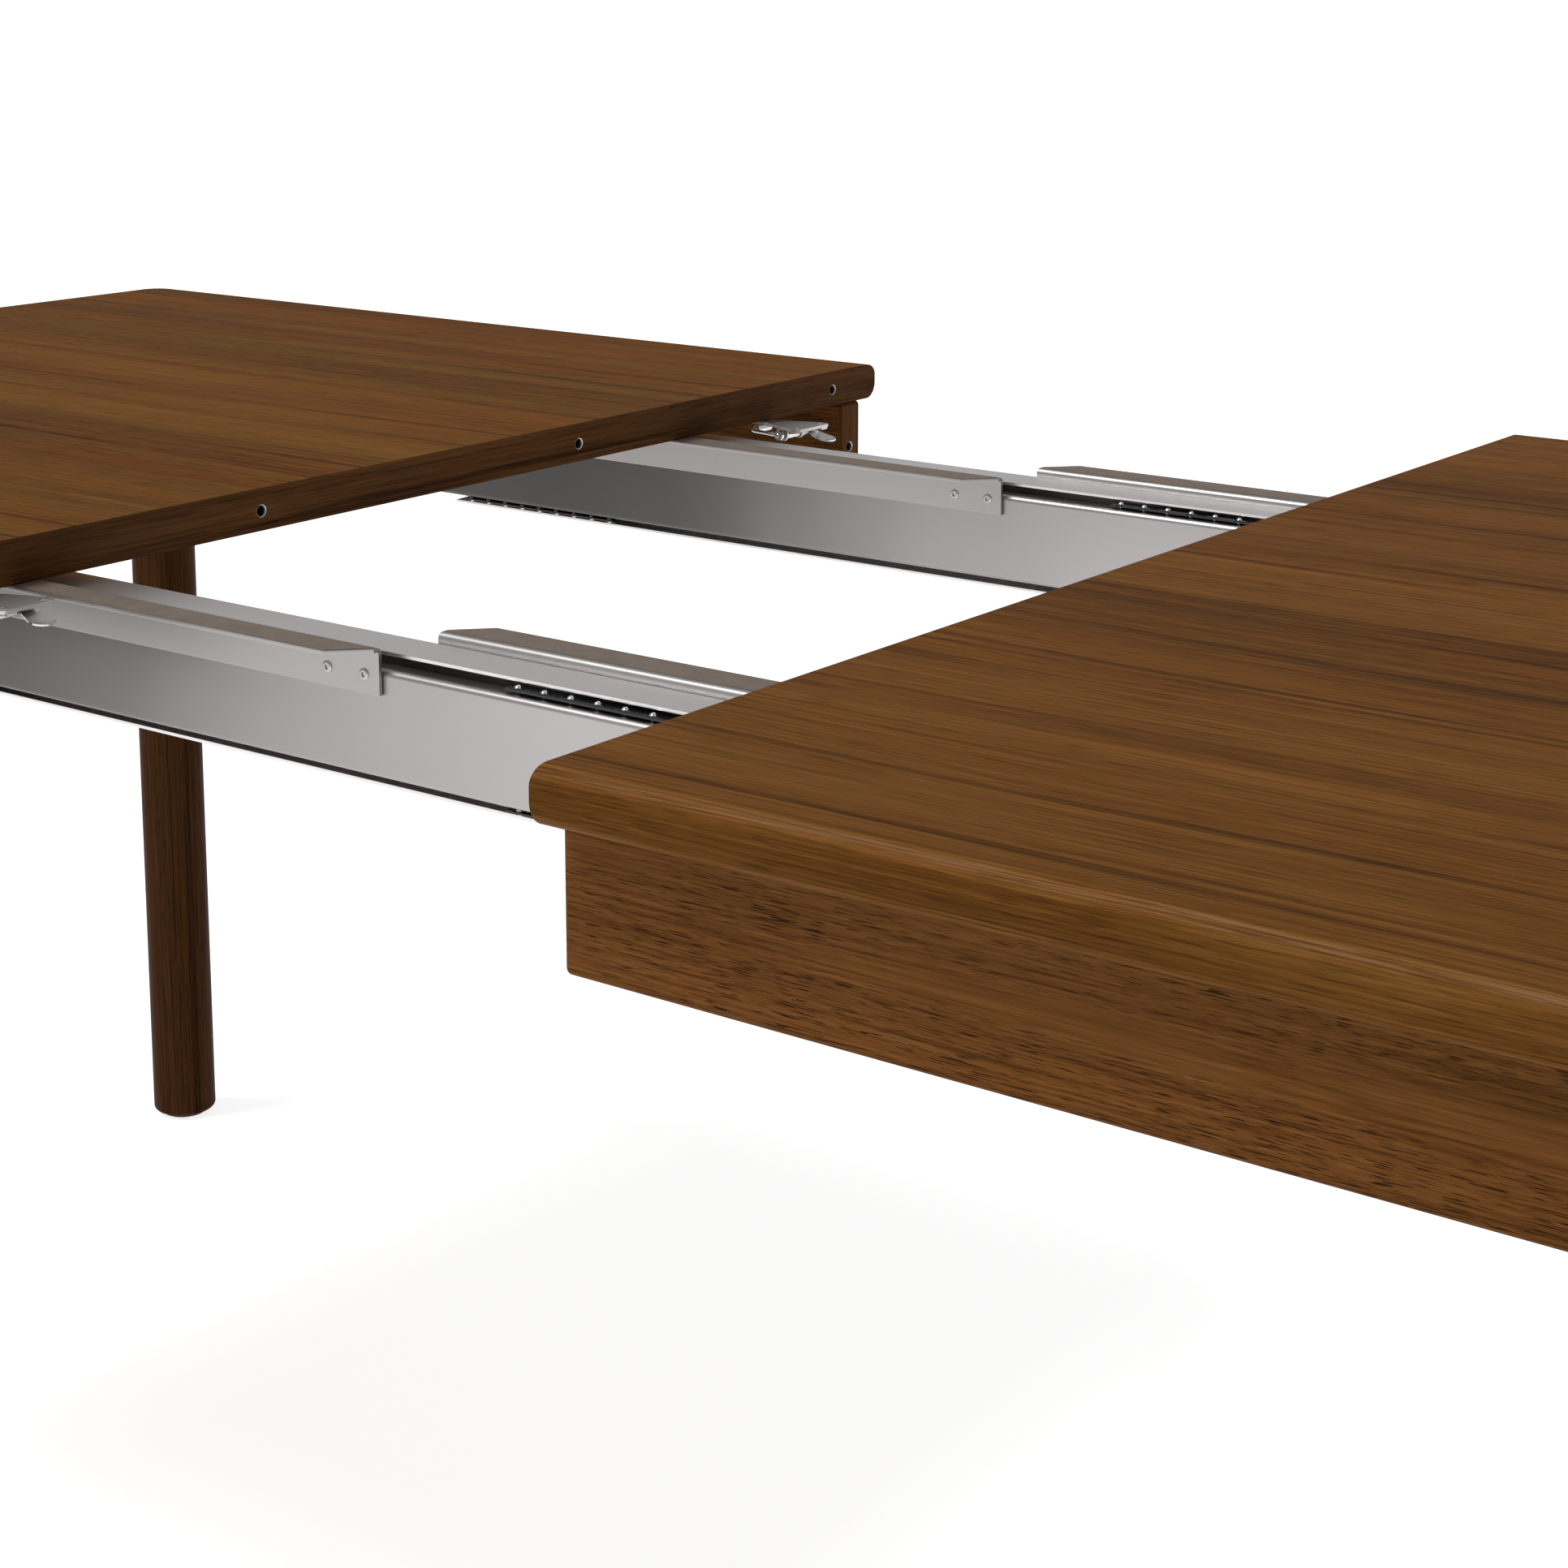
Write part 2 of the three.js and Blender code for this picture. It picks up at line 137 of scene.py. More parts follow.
def combine(obj, operation, *tools):
    for tool in tools:
        step = obj.modifiers.new("combine", "BOOLEAN")
        step.operation = operation
        step.solver = "EXACT"
        step.object = tool
        settle(obj)
        bpy.data.objects.remove(tool)
    return obj


def cut(obj, *tools):
    return combine(obj, "DIFFERENCE", *tools)


def join(obj, *tools):
    return combine(obj, "UNION", *tools)


def round_edges(obj, width, segments=3, angle=40):
    step = obj.modifiers.new("round", "BEVEL")
    step.width = width
    step.segments = segments
    step.limit_method = "ANGLE"
    step.angle_limit = math.radians(angle)
    step.use_clamp_overlap = True
    step.harden_normals = False
    return settle(obj)


def smooth(obj, angle=32):
    obj.data.shade_smooth()
    obj.data.set_sharp_from_angle(angle=math.radians(angle))
    weighted = obj.modifiers.new("normals", "WEIGHTED_NORMAL")
    weighted.keep_sharp = True
    return obj


def block(name, low, high):
    corners = [(x, y, z) for x in (low[0], high[0]) for y in (low[1], high[1]) for z in (low[2], high[2])]
    faces = [(0, 1, 3, 2), (4, 6, 7, 5), (0, 4, 5, 1), (2, 3, 7, 6), (0, 2, 6, 4), (1, 5, 7, 3)]
    return mesh_object(name, corners, faces)


AXES = {
    "x": (Vector((1, 0, 0)), Vector((0, 1, 0)), Vector((0, 0, 1))),
    "y": (Vector((0, 1, 0)), Vector((0, 0, 1)), Vector((1, 0, 0))),
    "z": (Vector((0, 0, 1)), Vector((1, 0, 0)), Vector((0, 1, 0))),
}


def turned(name, profile, centre, axis="z", sides=48, loop=False):
    """A turned piece: profile is (radius, distance along the axis) pairs in metres."""
    along, across, up = AXES[axis] if isinstance(axis, str) else axis
    rings = []
    for radius, height in profile:
        ring = []
        for k in range(sides):
            angle = 2 * math.pi * k / sides
            spoke = across * math.cos(angle) + up * math.sin(angle)
            ring.append(Vector(centre) + along * height + spoke * radius)
        rings.append(ring)
    return loft(name, rings, loop)


def rod(name, start, end, radius, sides=32):
    start, end = Vector(start), Vector(end)
    along = (end - start).normalized()
    across = along.orthogonal().normalized()
    axis = (along, across, along.cross(across))
    return turned(name, [(radius, 0), (radius, (end - start).length)], start, axis, sides)


def prism_x(name, outline, x0, x1):
    """An outline of (y, z) points drawn along X."""
    return loft(name, [[(x, y, z) for y, z in outline] for x in (x0, x1)])


def prism_z(name, outline, z0, z1):
    """An outline of (x, y) points raised along Z."""
    return loft(name, [[(x, y, z) for x, y in outline] for z in (z0, z1)])


def prism_y(name, outline, y0, y1):
    """An outline of (x, z) points drawn along Y."""
    return loft(name, [[(x, y, z) for x, z in outline] for y in (y0, y1)])


def arc(centre_a, centre_b, radius, start, end, steps=8):
    """Points of an arc in degrees, both ends included."""
    points = []
    for k in range(steps + 1):
        angle = math.radians(start + (end - start) * k / steps)
        points.append((centre_a + radius * math.cos(angle), centre_b + radius * math.sin(angle)))
    return points


def sweep(name, path, radius, sides=14):
    """A round wire along a path of points."""
    path = [Vector(p) for p in path]
    rings = []
    side = None
    for k, point in enumerate(path):
        before = path[max(k - 1, 0)]
        after = path[min(k + 1, len(path) - 1)]
        along = (after - before).normalized()
        if side is None:
            side = along.orthogonal().normalized()
        side = (side - along * side.dot(along)).normalized()
        up = along.cross(side)
        ring = []
        for j in range(sides):
            angle = 2 * math.pi * j / sides
            ring.append(point + (side * math.cos(angle) + up * math.sin(angle)) * radius)
        rings.append(ring)
    return loft(name, rings)


def gather(name, objects):
    """Several objects as one mesh, with their materials kept."""
    shell = bmesh.new()
    materials = []
    for obj in objects:
        start = len(shell.faces)
        shell.from_mesh(obj.data)
        shell.faces.ensure_lookup_table()
        for face in shell.faces[start:]:
            if obj.data.materials:
                material = obj.data.materials[face.material_index]
                if material not in materials:
                    materials.append(material)
                face.material_index = materials.index(material)
    mesh = bpy.data.meshes.new(name)
    shell.to_mesh(mesh)
    shell.free()
    for material in materials:
        mesh.materials.append(material)
    for obj in objects:
        bpy.data.objects.remove(obj)
    result = bpy.data.objects.new(name, mesh)
    bpy.context.scene.collection.objects.link(result)
    return result


def piece(obj, node, material=None, replace=True, angle=32):
    """Shades the object, and lets it ride on the node's body, in the node's place or beside it."""
    if material is not None:
        obj.data.materials.clear()
        obj.data.materials.append(material)
    smooth(obj, angle)
    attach(obj, body_of[node])
    if replace:
        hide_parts(node)
    return obj


# ---- Materials ----
MIX_COLOUR_SOCKETS = (0, 6, 7)  # the Mix node's factor and its two colour inputs
MIX_COLOUR_OUTPUT = 2
RINGS_PER_METRE = 215.0
RING_SPAN = 0.12
WALNUT_SHADES = (  # place on the ramp, then the colour there
    (0.02, (0.040, 0.0150, 0.0048)),
    (0.28, (0.110, 0.0420, 0.0095)),
    (0.50, (0.190, 0.0750, 0.0160)),
    (0.72, (0.250, 0.1050, 0.0240)),
    (0.98, (0.325, 0.1480, 0.0400)),
)
PORE_SHADE = (0.012, 0.0055, 0.0030)
# painted highlight colour laid along the tops' upper arris
PAINTED_ARRIS_HIGHLIGHT = (0.30, 0.185, 0.115, 1)
RED_TINT = (1.04, 0.86, 0.74, 1)


class Graph:
    """Short words for building a node material."""

    def __init__(self, name):
        self.material = bpy.data.materials.new(name)
        self.material.use_nodes = True
        self.tree = self.material.node_tree
        self.shader = self.tree.nodes["Principled BSDF"]
        self.place = self.node("ShaderNodeTexCoord").outputs["Object"]

    def node(self, kind, **settings):
        made = self.tree.nodes.new(kind)
        for key, value in settings.items():
            setattr(made, key, value)
        return made

    def feed(self, socket, value):
        if isinstance(value, bpy.types.NodeSocket):
            self.tree.links.new(value, socket)
        else:
            socket.default_value = value

    def math(self, operation, a, b=0.0, c=0.0):
        made = self.node("ShaderNodeMath", operation=operation)
        for socket, value in zip(made.inputs, (a, b, c)):
            self.feed(socket, value)
        return made.outputs[0]

    def split(self, vector):
        made = self.node("ShaderNodeSeparateXYZ")
        self.feed(made.inputs[0], vector)
        return made.outputs

    def vector(self, x, y, z):
        made = self.node("ShaderNodeCombineXYZ")
        for socket, value in zip(made.inputs, (x, y, z)):
            self.feed(socket, value)
        return made.outputs[0]

    def noise(self, vector, detail=2.0, roughness=0.5, distortion=0.0, scale=1.0):
        made = self.node("ShaderNodeTexNoise")
        self.feed(made.inputs["Vector"], vector)
        made.inputs["Scale"].default_value = scale
        made.inputs["Detail"].default_value = detail
        made.inputs["Roughness"].default_value = roughness
        made.inputs["Distortion"].default_value = distortion
        return made.outputs["Fac"]

    def ramp(self, value, low, high, low_out=0.0, high_out=1.0):
        made = self.node("ShaderNodeMapRange", interpolation_type="SMOOTHSTEP")
        for socket, entry in zip(made.inputs, (value, low, high, low_out, high_out)):
            self.feed(socket, entry)
        return made.outputs[0]

    def mix(self, factor, first, second, blend="MIX"):
        made = self.node("ShaderNodeMix", data_type="RGBA", blend_type=blend)
        for socket, value in zip(MIX_COLOUR_SOCKETS, (factor, first, second)):
            self.feed(made.inputs[socket], value)
        return made.outputs[MIX_COLOUR_OUTPUT]

    def bump(self, height, strength, distance):
        made = self.node("ShaderNodeBump")
        made.inputs["Strength"].default_value = strength
        made.inputs["Distance"].default_value = distance
        self.feed(made.inputs["Height"], height)
        return made.outputs[0]


def walnut(
    name,
    grain,
    offset,
    tone,
    red,
    pores,
    dash,
    figure,
    stave=10.0,
    banding=0.6,
    blue=1.0,
    gloss=0.02,
    side=1.0,
):
    """Oiled walnut along one axis: staves, tone bands, ring arches, dark streaks, fine lines and pores.

    offset picks the part of the board, and tone and blue set its shade. red is the strength of the red bands.
    pores is the pores' darkness, and dash their rates along and across. figure is the rings' strength, stave
    the boards' width in metres, banding the contrast, and gloss the specular level. side, when under 1,
    paints shade on the rounded sides and a highlight along the upper arris.
    """
    g = Graph(name)
    shift = g.node("ShaderNodeVectorMath", operation="ADD")
    g.feed(shift.inputs[0], g.place)
    shift.inputs[1].default_value = offset
    x, y, z = g.split(shift.outputs[0])
    along, across, deep = {"x": (x, y, z), "y": (y, x, z), "z": (z, x, y)}[grain]

    # each stave is its own board: a shift along the grain and a small change of tone
    number = g.math("FLOOR", g.math("DIVIDE", across, stave))
    pick = g.node("ShaderNodeTexWhiteNoise", noise_dimensions="1D")
    g.feed(pick.inputs["W"], g.math("ADD", number, offset[0] * 7.3))
    pick = pick.outputs["Value"]
    along = g.math("MULTIPLY_ADD", pick, 5.3, along)

    # the grain wanders a little from side to side
    drift = g.noise(g.vector(g.math("MULTIPLY", along, 1.5), g.math("MULTIPLY", across, 4.0), deep), 2.0)
    drift = g.math("MULTIPLY", g.math("SUBTRACT", drift, 0.5), 0.022)
    v = g.math("ADD", across, drift)

    def stretched(along_rate, across_rate, detail=2.0, rough=0.5):
        return g.noise(
            g.vector(
                g.math("MULTIPLY", along, along_rate),
                g.math("MULTIPLY", v, across_rate),
                g.math("MULTIPLY", deep, across_rate),
            ),
            detail,
            rough,
        )

    broad = stretched(0.8, 15.0, 2.0)
    bands = stretched(1.2, 70.0, 3.0, 0.6)
    lines = stretched(4.0, 560.0, 3.0, 0.7)
    fibre = stretched(22.0, 1500.0, 3.0, 0.6)
    streaks = stretched(0.9, 95.0, 2.0)
    hue = stretched(0.9, 24.0, 2.0)
    cloud = stretched(7.0, 26.0, 2.0)

    # growth rings round an axis that dips through the board, so flat cuts show arches
    inside = g.math("SUBTRACT", g.math("FRACT", g.math("DIVIDE", across, stave)), 0.5)
    aside = g.math("MULTIPLY_ADD", inside, min(stave, RING_SPAN), g.math("MULTIPLY", drift, 0.8))
    depth = g.math("MULTIPLY", g.math("SINE", g.math("MULTIPLY", along, 1.3)), 0.020)
    squares = g.math("ADD", g.math("MULTIPLY", aside, aside), g.math("MULTIPLY", depth, depth))
    radius = g.math("MULTIPLY_ADD", bands, 0.003, g.math("SQRT", squares))
    ring = g.math("FRACT", g.math("MULTIPLY", radius, RINGS_PER_METRE))
    ring = g.math("MULTIPLY", g.ramp(ring, 0.25, 0.85), g.ramp(ring, 1.0, 0.88))
    ring = g.math("MULTIPLY", ring, g.ramp(fibre, 0.25, 0.55))
    ring = g.math("MULTIPLY", ring, g.ramp(g.math("MULTIPLY_ADD", pick, 0.5, broad), 0.78, 0.98))

    pore = stretched(dash[0], dash[1], 1.0)
    pore = g.math("MULTIPLY", g.ramp(pore, 0.575, 0.66), g.ramp(stretched(3.0, 45.0), 0.30, 0.55))

    value = g.math("MULTIPLY_ADD", g.math("SUBTRACT", broad, 0.5), banding, 0.5)
    weights = ((bands, banding), (lines, 1.15), (fibre, 0.95), (cloud, 0.12), (pick, 0.20))
    for layer, weight in weights:
        value = g.math("MULTIPLY_ADD", g.math("SUBTRACT", layer, 0.5), weight, value)
    value = g.math("SUBTRACT", value, g.math("MULTIPLY", g.ramp(streaks, 0.58, 0.72), 0.45 * banding))
    value = g.math("SUBTRACT", value, g.math("MULTIPLY", ring, figure))
    ramp = g.node("ShaderNodeValToRGB")
    while len(ramp.color_ramp.elements) < len(WALNUT_SHADES):
        ramp.color_ramp.elements.new(0.5)
    for stop, (place, shade) in zip(ramp.color_ramp.elements, WALNUT_SHADES):
        stop.position = place
        stop.color = (shade[0] * tone, shade[1] * tone, shade[2] * tone * blue, 1)
    g.feed(ramp.inputs[0], value)
    colour = ramp.outputs[0]
    redder = g.math("MULTIPLY", g.ramp(hue, 0.42, 0.66), 0.25 + 0.6 * red)
    colour = g.mix(redder, colour, RED_TINT, "MULTIPLY")
    pore_shade = tuple(c * tone for c in PORE_SHADE) + (1,)
    colour = g.mix(g.math("MULTIPLY", pore, pores), colour, pore_shade)
    if side < 1:  # painted shade: the board's rounded sides are darker than its face
        facing = g.split(g.node("ShaderNodeNewGeometry").outputs["Normal"])[2]
        shade = g.ramp(g.math("ABSOLUTE", facing), 0.25, 0.95, side, 1.0)
        colour = g.mix(1.0, colour, g.vector(shade, shade, shade), "MULTIPLY")
        # painted highlight: a lighter band along the upper arris, broken by the fibre
        arris = g.ramp(g.math("ABSOLUTE", facing), 0.62, 0.82)
        arris_highlight = g.math("MULTIPLY", arris, g.ramp(facing, 0.995, 0.93))
        arris_highlight = g.math("MULTIPLY", arris_highlight, g.ramp(fibre, 0.40, 0.62))
        colour = g.mix(g.math("MULTIPLY", arris_highlight, 0.30), colour, PAINTED_ARRIS_HIGHLIGHT)
    g.feed(g.shader.inputs["Base Color"], colour)

    rough = g.math("MULTIPLY_ADD", lines, 0.16, g.math("MULTIPLY", pore, 0.2))
    g.feed(g.shader.inputs["Roughness"], g.math("ADD", rough, 0.38))
    g.shader.inputs["Specular IOR Level"].default_value = gloss
    height = g.math("MULTIPLY_ADD", fibre, 0.5, g.math("MULTIPLY", lines, 0.5))
    height = g.math("SUBTRACT", height, g.math("MULTIPLY", pore, pores * 0.8))
    g.feed(g.shader.inputs["Normal"], g.bump(height, 0.5, 0.0004))
    return g.material


def steel(name, colour, roughness, grain="x", brushed=1.0, painted_end_shade=0.0):
    """Satin sheet steel: rolled lines, soft haze, fine specks, and painted shade towards its left end."""
    g = Graph(name)
    x, y, z = g.split(g.place)
    along, across, deep = {"x": (x, y, z), "y": (y, x, z), "z": (z, x, y)}[grain]
    rolled = g.noise(
        g.vector(
            g.math("MULTIPLY", along, 14.0),
            g.math("MULTIPLY", across, 1900.0),
            g.math("MULTIPLY", deep, 1900.0),
        ),
        3.0,
    )
    haze = g.noise(g.vector(g.math("MULTIPLY", along, 2.0), across, deep), 2.0, 0.5, 0.0, 3.0)
    speck = g.noise(g.place, 2.0, 0.5, 0.0, 800.0)
    clear = tuple(colour) + (1,)
    base = g.mix(g.ramp(haze, 0.3, 0.7), tuple(c * 0.95 for c in colour) + (1,), clear)
    spots = g.math("MULTIPLY", g.ramp(speck, 0.68, 0.80), 0.2)
    base = g.mix(spots, base, tuple(c * 0.6 for c in colour) + (1,))
    if painted_end_shade:
        # painted shade: the steel darkens towards its left end, where it runs under the left top
        end_shade_share = g.ramp(g.math("MULTIPLY_ADD", haze, 0.12, x), 0.20, -0.30)
        base = g.mix(g.math("MULTIPLY", end_shade_share, painted_end_shade), base, tuple(c * 0.20 for c in colour) + (1,))
    g.feed(g.shader.inputs["Base Color"], base)
    g.shader.inputs["Metallic"].default_value = 1.0
    rough = g.math("MULTIPLY_ADD", rolled, 0.08 * brushed, roughness - 0.05)
    g.feed(g.shader.inputs["Roughness"], g.math("MULTIPLY_ADD", haze, 0.04, rough))
    g.feed(g.shader.inputs["Normal"], g.bump(rolled, 0.05 * brushed, 0.0002))
    return g.material


def plain(name, colour, roughness, scale, bump_depth, metallic=0.0, variation=0.25):
    """Paint, felt or rubber: a colour with blotches, grain and bump."""
    g = Graph(name)
    fine = g.noise(g.place, 3.0, 0.6, 0.0, scale)
    broad = g.noise(g.place, 3.0, 0.5, 0.0, scale / 12)
    low = tuple(c * (1 - variation) for c in colour) + (1,)
    high = tuple(min(1.0, c * (1 + variation)) for c in colour) + (1,)
    blotch = g.math("MULTIPLY_ADD", broad, 0.5, g.math("MULTIPLY", fine, 0.5))
    base = g.mix(g.ramp(blotch, 0.38, 0.62), low, high)
    g.feed(g.shader.inputs["Base Color"], base)
    g.shader.inputs["Metallic"].default_value = metallic
    g.feed(g.shader.inputs["Roughness"], g.math("MULTIPLY_ADD", fine, 0.12, roughness - 0.06))
    g.feed(g.shader.inputs["Normal"], g.bump(fine, 0.4, bump_depth))
    return g.material


# side 0.70 paints shade on the tops' rounded sides and a highlight along their arris
TOP_LOOK = {"pores": 0.4, "dash": (40, 1900), "stave": 0.094, "banding": 0.5, "gloss": 0.008, "side": 0.70}
TOP_WOOD = {
    "left": walnut(
        "walnut_top_left", "x", (3.1, 0.037, 0.4), tone=0.67, red=1.0, figure=0.12, blue=0.66, **TOP_LOOK
    ),
    "right": walnut(
        "walnut_top_right", "x", (7.3, 0.061, 1.3), tone=0.73, red=0.2, figure=0.14, blue=0.95, **TOP_LOOK
    ),
}
LIP_LOOK = {"tone": 0.34, "red": 0.9, "pores": 0.3, "dash": (40, 950), "figure": 0.0, "blue": 1.4}
LIP_WOOD = {
    "left": walnut("walnut_lip_left", "y", (0.3, 1.9, 2.2), **LIP_LOOK),
    "right": walnut("walnut_lip_right", "y", (1.3, 4.9, 0.2), **LIP_LOOK),
}
APRON_LOOK = {"dash": (75, 2300), "figure": 0.1}
APRON_WOOD = {
    "near": walnut(
        "walnut_apron_near",
        "x",
        (1.7, 0.4, 0.333),
        tone=0.59,
        red=0.25,
        pores=0.85,
        banding=0.42,
        blue=1.15,
        **APRON_LOOK,
    ),
    "far": walnut(
        "walnut_apron_far",
        "x",
        (5.1, 2.4, 0.87),
        tone=0.50,
        red=0.2,
        pores=0.8,
        banding=0.40,
        blue=1.1,
        **APRON_LOOK,
    ),
}
CUT_WOOD = walnut(
    "walnut_cut_end",
    "z",
    (4.2, 1.3, 0.6),
    tone=0.36,
    red=0.8,
    pores=0.3,
    dash=(60, 1400),
    figure=0.0,
    banding=0.4,
    blue=1.3,
)
END_WOOD = walnut(
    "walnut_apron_end",
    "y",
    (0.2, 3.3, 0.71),
    tone=0.56,
    red=0.2,
    pores=0.8,
    banding=0.40,
    blue=1.1,
    **APRON_LOOK,
)
LEG_LOOK = {
    "tone": 0.23,
    "red": 0.6,
    "pores": 0.4,
    "dash": (60, 1400),
    "figure": 0.1,
    "banding": 0.5,
    "blue": 1.4,
}
LEG_WOOD = {
    ("left", "near"): walnut("walnut_leg_a", "z", (0.12, 0.31, 1.7), **LEG_LOOK),
    ("left", "far"): walnut("walnut_leg_b", "z", (0.52, 0.11, 4.2), **LEG_LOOK),
    ("right", "near"): walnut("walnut_leg_c", "z", (0.92, 0.71, 6.6), **LEG_LOOK),
    ("right", "far"): walnut("walnut_leg_d", "z", (0.32, 0.91, 8.9), **LEG_LOOK),
}
BRACE_WOOD = walnut(
    "walnut_brace", "x", (2.2, 0.9, 3.3), tone=0.5, red=0.2, pores=0.5, dash=(60, 900), figure=0.1
)
# the inner rails' steel carries painted shade towards its left end
RAIL_STEEL = steel("rail_satin_steel", (0.45, 0.432, 0.428), 0.34, painted_end_shade=1.0)
OUTER_STEEL = steel("outer_rail_satin_steel", (0.80, 0.773, 0.767), 0.36)
# painted shade: the outer rail's back face takes this darker copy of its steel
BACK_SHADE_STEEL = steel("rail_back_painted_shade_steel", (0.42, 0.404, 0.40), 0.36)
BRACKET_STEEL = steel("bracket_satin_steel", (0.42, 0.403, 0.395), 0.38)
BRIGHT_STEEL = steel("bright_plated_steel", (0.70, 0.69, 0.68), 0.24, grain="y", brushed=0.4)
PLATE_STEEL = steel("plated_sheet_steel", (0.60, 0.585, 0.575), 0.40, grain="y", brushed=0.8)
RIVET_STEEL = steel("rivet_steel", (0.50, 0.485, 0.475), 0.36, brushed=0.5)
SLEEVE_METAL = plain("sleeve_zinc", (0.62, 0.60, 0.56), 0.5, 900.0, 0.00005, metallic=0.55, variation=0.12)
# painted shade: a near-black material for the shade deep inside the sleeves' bores
SLEEVE_BORE_SHADE = plain(
    "sleeve_bore_painted_shade", (0.012, 0.011, 0.010), 0.6, 900.0, 0.00005, metallic=0.2, variation=0.3
)
DARK_STEEL = steel("screw_steel", (0.30, 0.30, 0.31), 0.34, grain="z", brushed=0.5)
CAGE_PAINT = plain("cage_black_paint", (0.008, 0.008, 0.009), 0.30, 700.0, 0.00005)
BALL_STEEL = steel("ball_steel", (0.80, 0.80, 0.80), 0.10, brushed=0.0)
FLANGE_FILM = plain("flange_film_brown", (0.148, 0.112, 0.086), 0.62, 1400.0, 0.00008, variation=0.12)
FELT = plain("grey_felt", (0.045, 0.042, 0.040), 0.95, 900.0, 0.0006, variation=0.4)


# ---- Tops ----
TOP_CORNER = 25 * MM
UPPER_ROUND = (11 * MM, 8 * MM)  # across and down
LOWER_ROUND = (10.5 * MM, 11 * MM)
SLEEVE_DEPTH = 14.3 * MM
PIN_DEPTH = 16.2 * MM


def top_ring(side, inset, z):
    """The top's outline at one height: open round the outer edge, straight along the split."""
    outer_x = left_top_low.x if side < 0 else right_top_high.x
    radius = TOP_CORNER - inset
    x_centre = abs(outer_x) - TOP_CORNER
    y_centre = OUTER_Y - TOP_CORNER
    points = [(SPLIT_X, -OUTER_Y + inset)]
    points += arc(x_centre, -y_centre, radius, -90, 0, 10)
    points += arc(x_centre, y_centre, radius, 0, 90, 10)
    points += [(SPLIT_X, OUTER_Y - inset)]
    return [(side * x, y, z) for x, y in points]


def make_top(half, side):
    rings = []
    steps = 9
    for k in range(steps + 1):
        angle = math.radians(90 * k / steps)
        inset = LOWER_ROUND[0] * (1 - math.sin(angle))
        rings.append(top_ring(side, inset, UNDER_Z + LOWER_ROUND[1] * (1 - math.cos(angle))))
    for k in range(steps + 1):
        angle = math.radians(90 * k / steps)
        inset = UPPER_ROUND[0] * (1 - math.cos(angle))
        rings.append(top_ring(side, inset, TOP_Z - UPPER_ROUND[1] * (1 - math.sin(angle))))
    top = loft(f"{half}_top_board", rings)
    bores = []
    for index in range(1, 5):
        node = f"top_sleeve_{index}" if side < 0 else f"top_pin_{index}"
        low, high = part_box(node)
        middle = (low + high) / 2
        radius = (high.z - low.z) / 2 + 0.06 * MM
        depth = SLEEVE_DEPTH if side < 0 else PIN_DEPTH
        start = (side * (SPLIT_X - 1 * MM), middle.y, middle.z)
        bores.append(rod("bore", start, (side * (SPLIT_X + depth), middle.y, middle.z), radius))
    cut(top, *bores)
    arris = top.modifiers.new("arris", "BEVEL")
    arris.width = 0.6 * MM
    arris.segments = 2
    arris.limit_method = "ANGLE"
    arris.angle_limit = math.radians(50)
    settle(top)
    top.data.materials.clear()
    for material in (TOP_WOOD[half], LIP_WOOD[half]):
        top.data.materials.append(material)
    for face in top.data.polygons:
        on_split = abs(face.center.x) < SPLIT_X + 0.2 * MM and abs(face.normal.x) > 0.6
        face.material_index = 1 if on_split else 0
    return piece(top, f"{half}_top", angle=30)


for half, side in HALVES:
    make_top(half, side)


# ---- Aprons, braces and legs ----
APRON_ROUND = 3.2 * MM
SOCKET_RADIUS = 27.6 * MM
PIN_BORE = 2.9 * MM


def leg_socket(half, edge):
    """The round clearance that the leg stands in."""
    low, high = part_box(f"{half}_{edge}_leg")
    centre = (low + high) / 2
    return rod("socket", (centre.x, centre.y, 0.6), (centre.x, centre.y, 0.8), SOCKET_RADIUS, 64)


def make_side_apron(half, side, edge):
    node = f"{half}_{edge}_apron"
    low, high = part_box(node)
    board = block(f"{node}_board", low, high)
    round_edges(board, APRON_ROUND, 5)
    tools = [leg_socket(half, edge)]
    if side < 0:
        sleeve_low, sleeve_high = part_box(f"{edge}_apron_sleeve")
        at = (sleeve_low + sleeve_high) / 2
        radius = (sleeve_high.z - sleeve_low.z) / 2 + 0.06 * MM
        tools.append(rod("bore", (-SPLIT_X + MM, at.y, at.z), (-SPLIT_X - SLEEVE_DEPTH, at.y, at.z), radius))
    else:
        pin_low, pin_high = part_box(f"{edge}_apron_pin")
        at = (pin_low + pin_high) / 2
        tools.append(rod("bore", (SPLIT_X - MM, at.y, at.z), (SPLIT_X + PIN_DEPTH, at.y, at.z), PIN_BORE))
    cut(board, *tools)
    board.data.materials.clear()
    for material in (APRON_WOOD[edge], CUT_WOOD):
        board.data.materials.append(material)
    for face in board.data.polygons:
        on_split = abs(face.center.x) < SPLIT_X + APRON_ROUND and abs(face.normal.x) > 0.6
        face.material_index = 1 if on_split else 0
    return piece(board, node)


def make_end_apron(half):
    node = f"{half}_end_apron"
    low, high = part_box(node)
    board = block(f"{node}_board", low, high)
    round_edges(board, 2 * MM, 4)
    cut(board, *[leg_socket(half, edge) for edge in dict(EDGES)])
    return piece(board, node, END_WOOD)


def make_leg(half, edge):
    node = f"{half}_{edge}_leg"
    low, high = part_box(node)
    centre = (low + high) / 2
    radius = (high.y - low.y) / 2
    foot = 4.5 * MM
    profile = [(radius - foot, low.z)]
    for k in range(1, 9):
        angle = math.radians(90 * k / 8)
        profile.append((radius - foot * (1 - math.sin(angle)), low.z + foot * (1 - math.cos(angle))))
    for height in (0.05, 0.2, 0.4, 0.6, 0.70):
        profile.append((radius, height))
    profile.append((radius, high.z))
    leg = turned(f"{node}_turned", profile, (centre.x, centre.y, 0), "z", 96)
    return piece(leg, node, LEG_WOOD[(half, edge)])


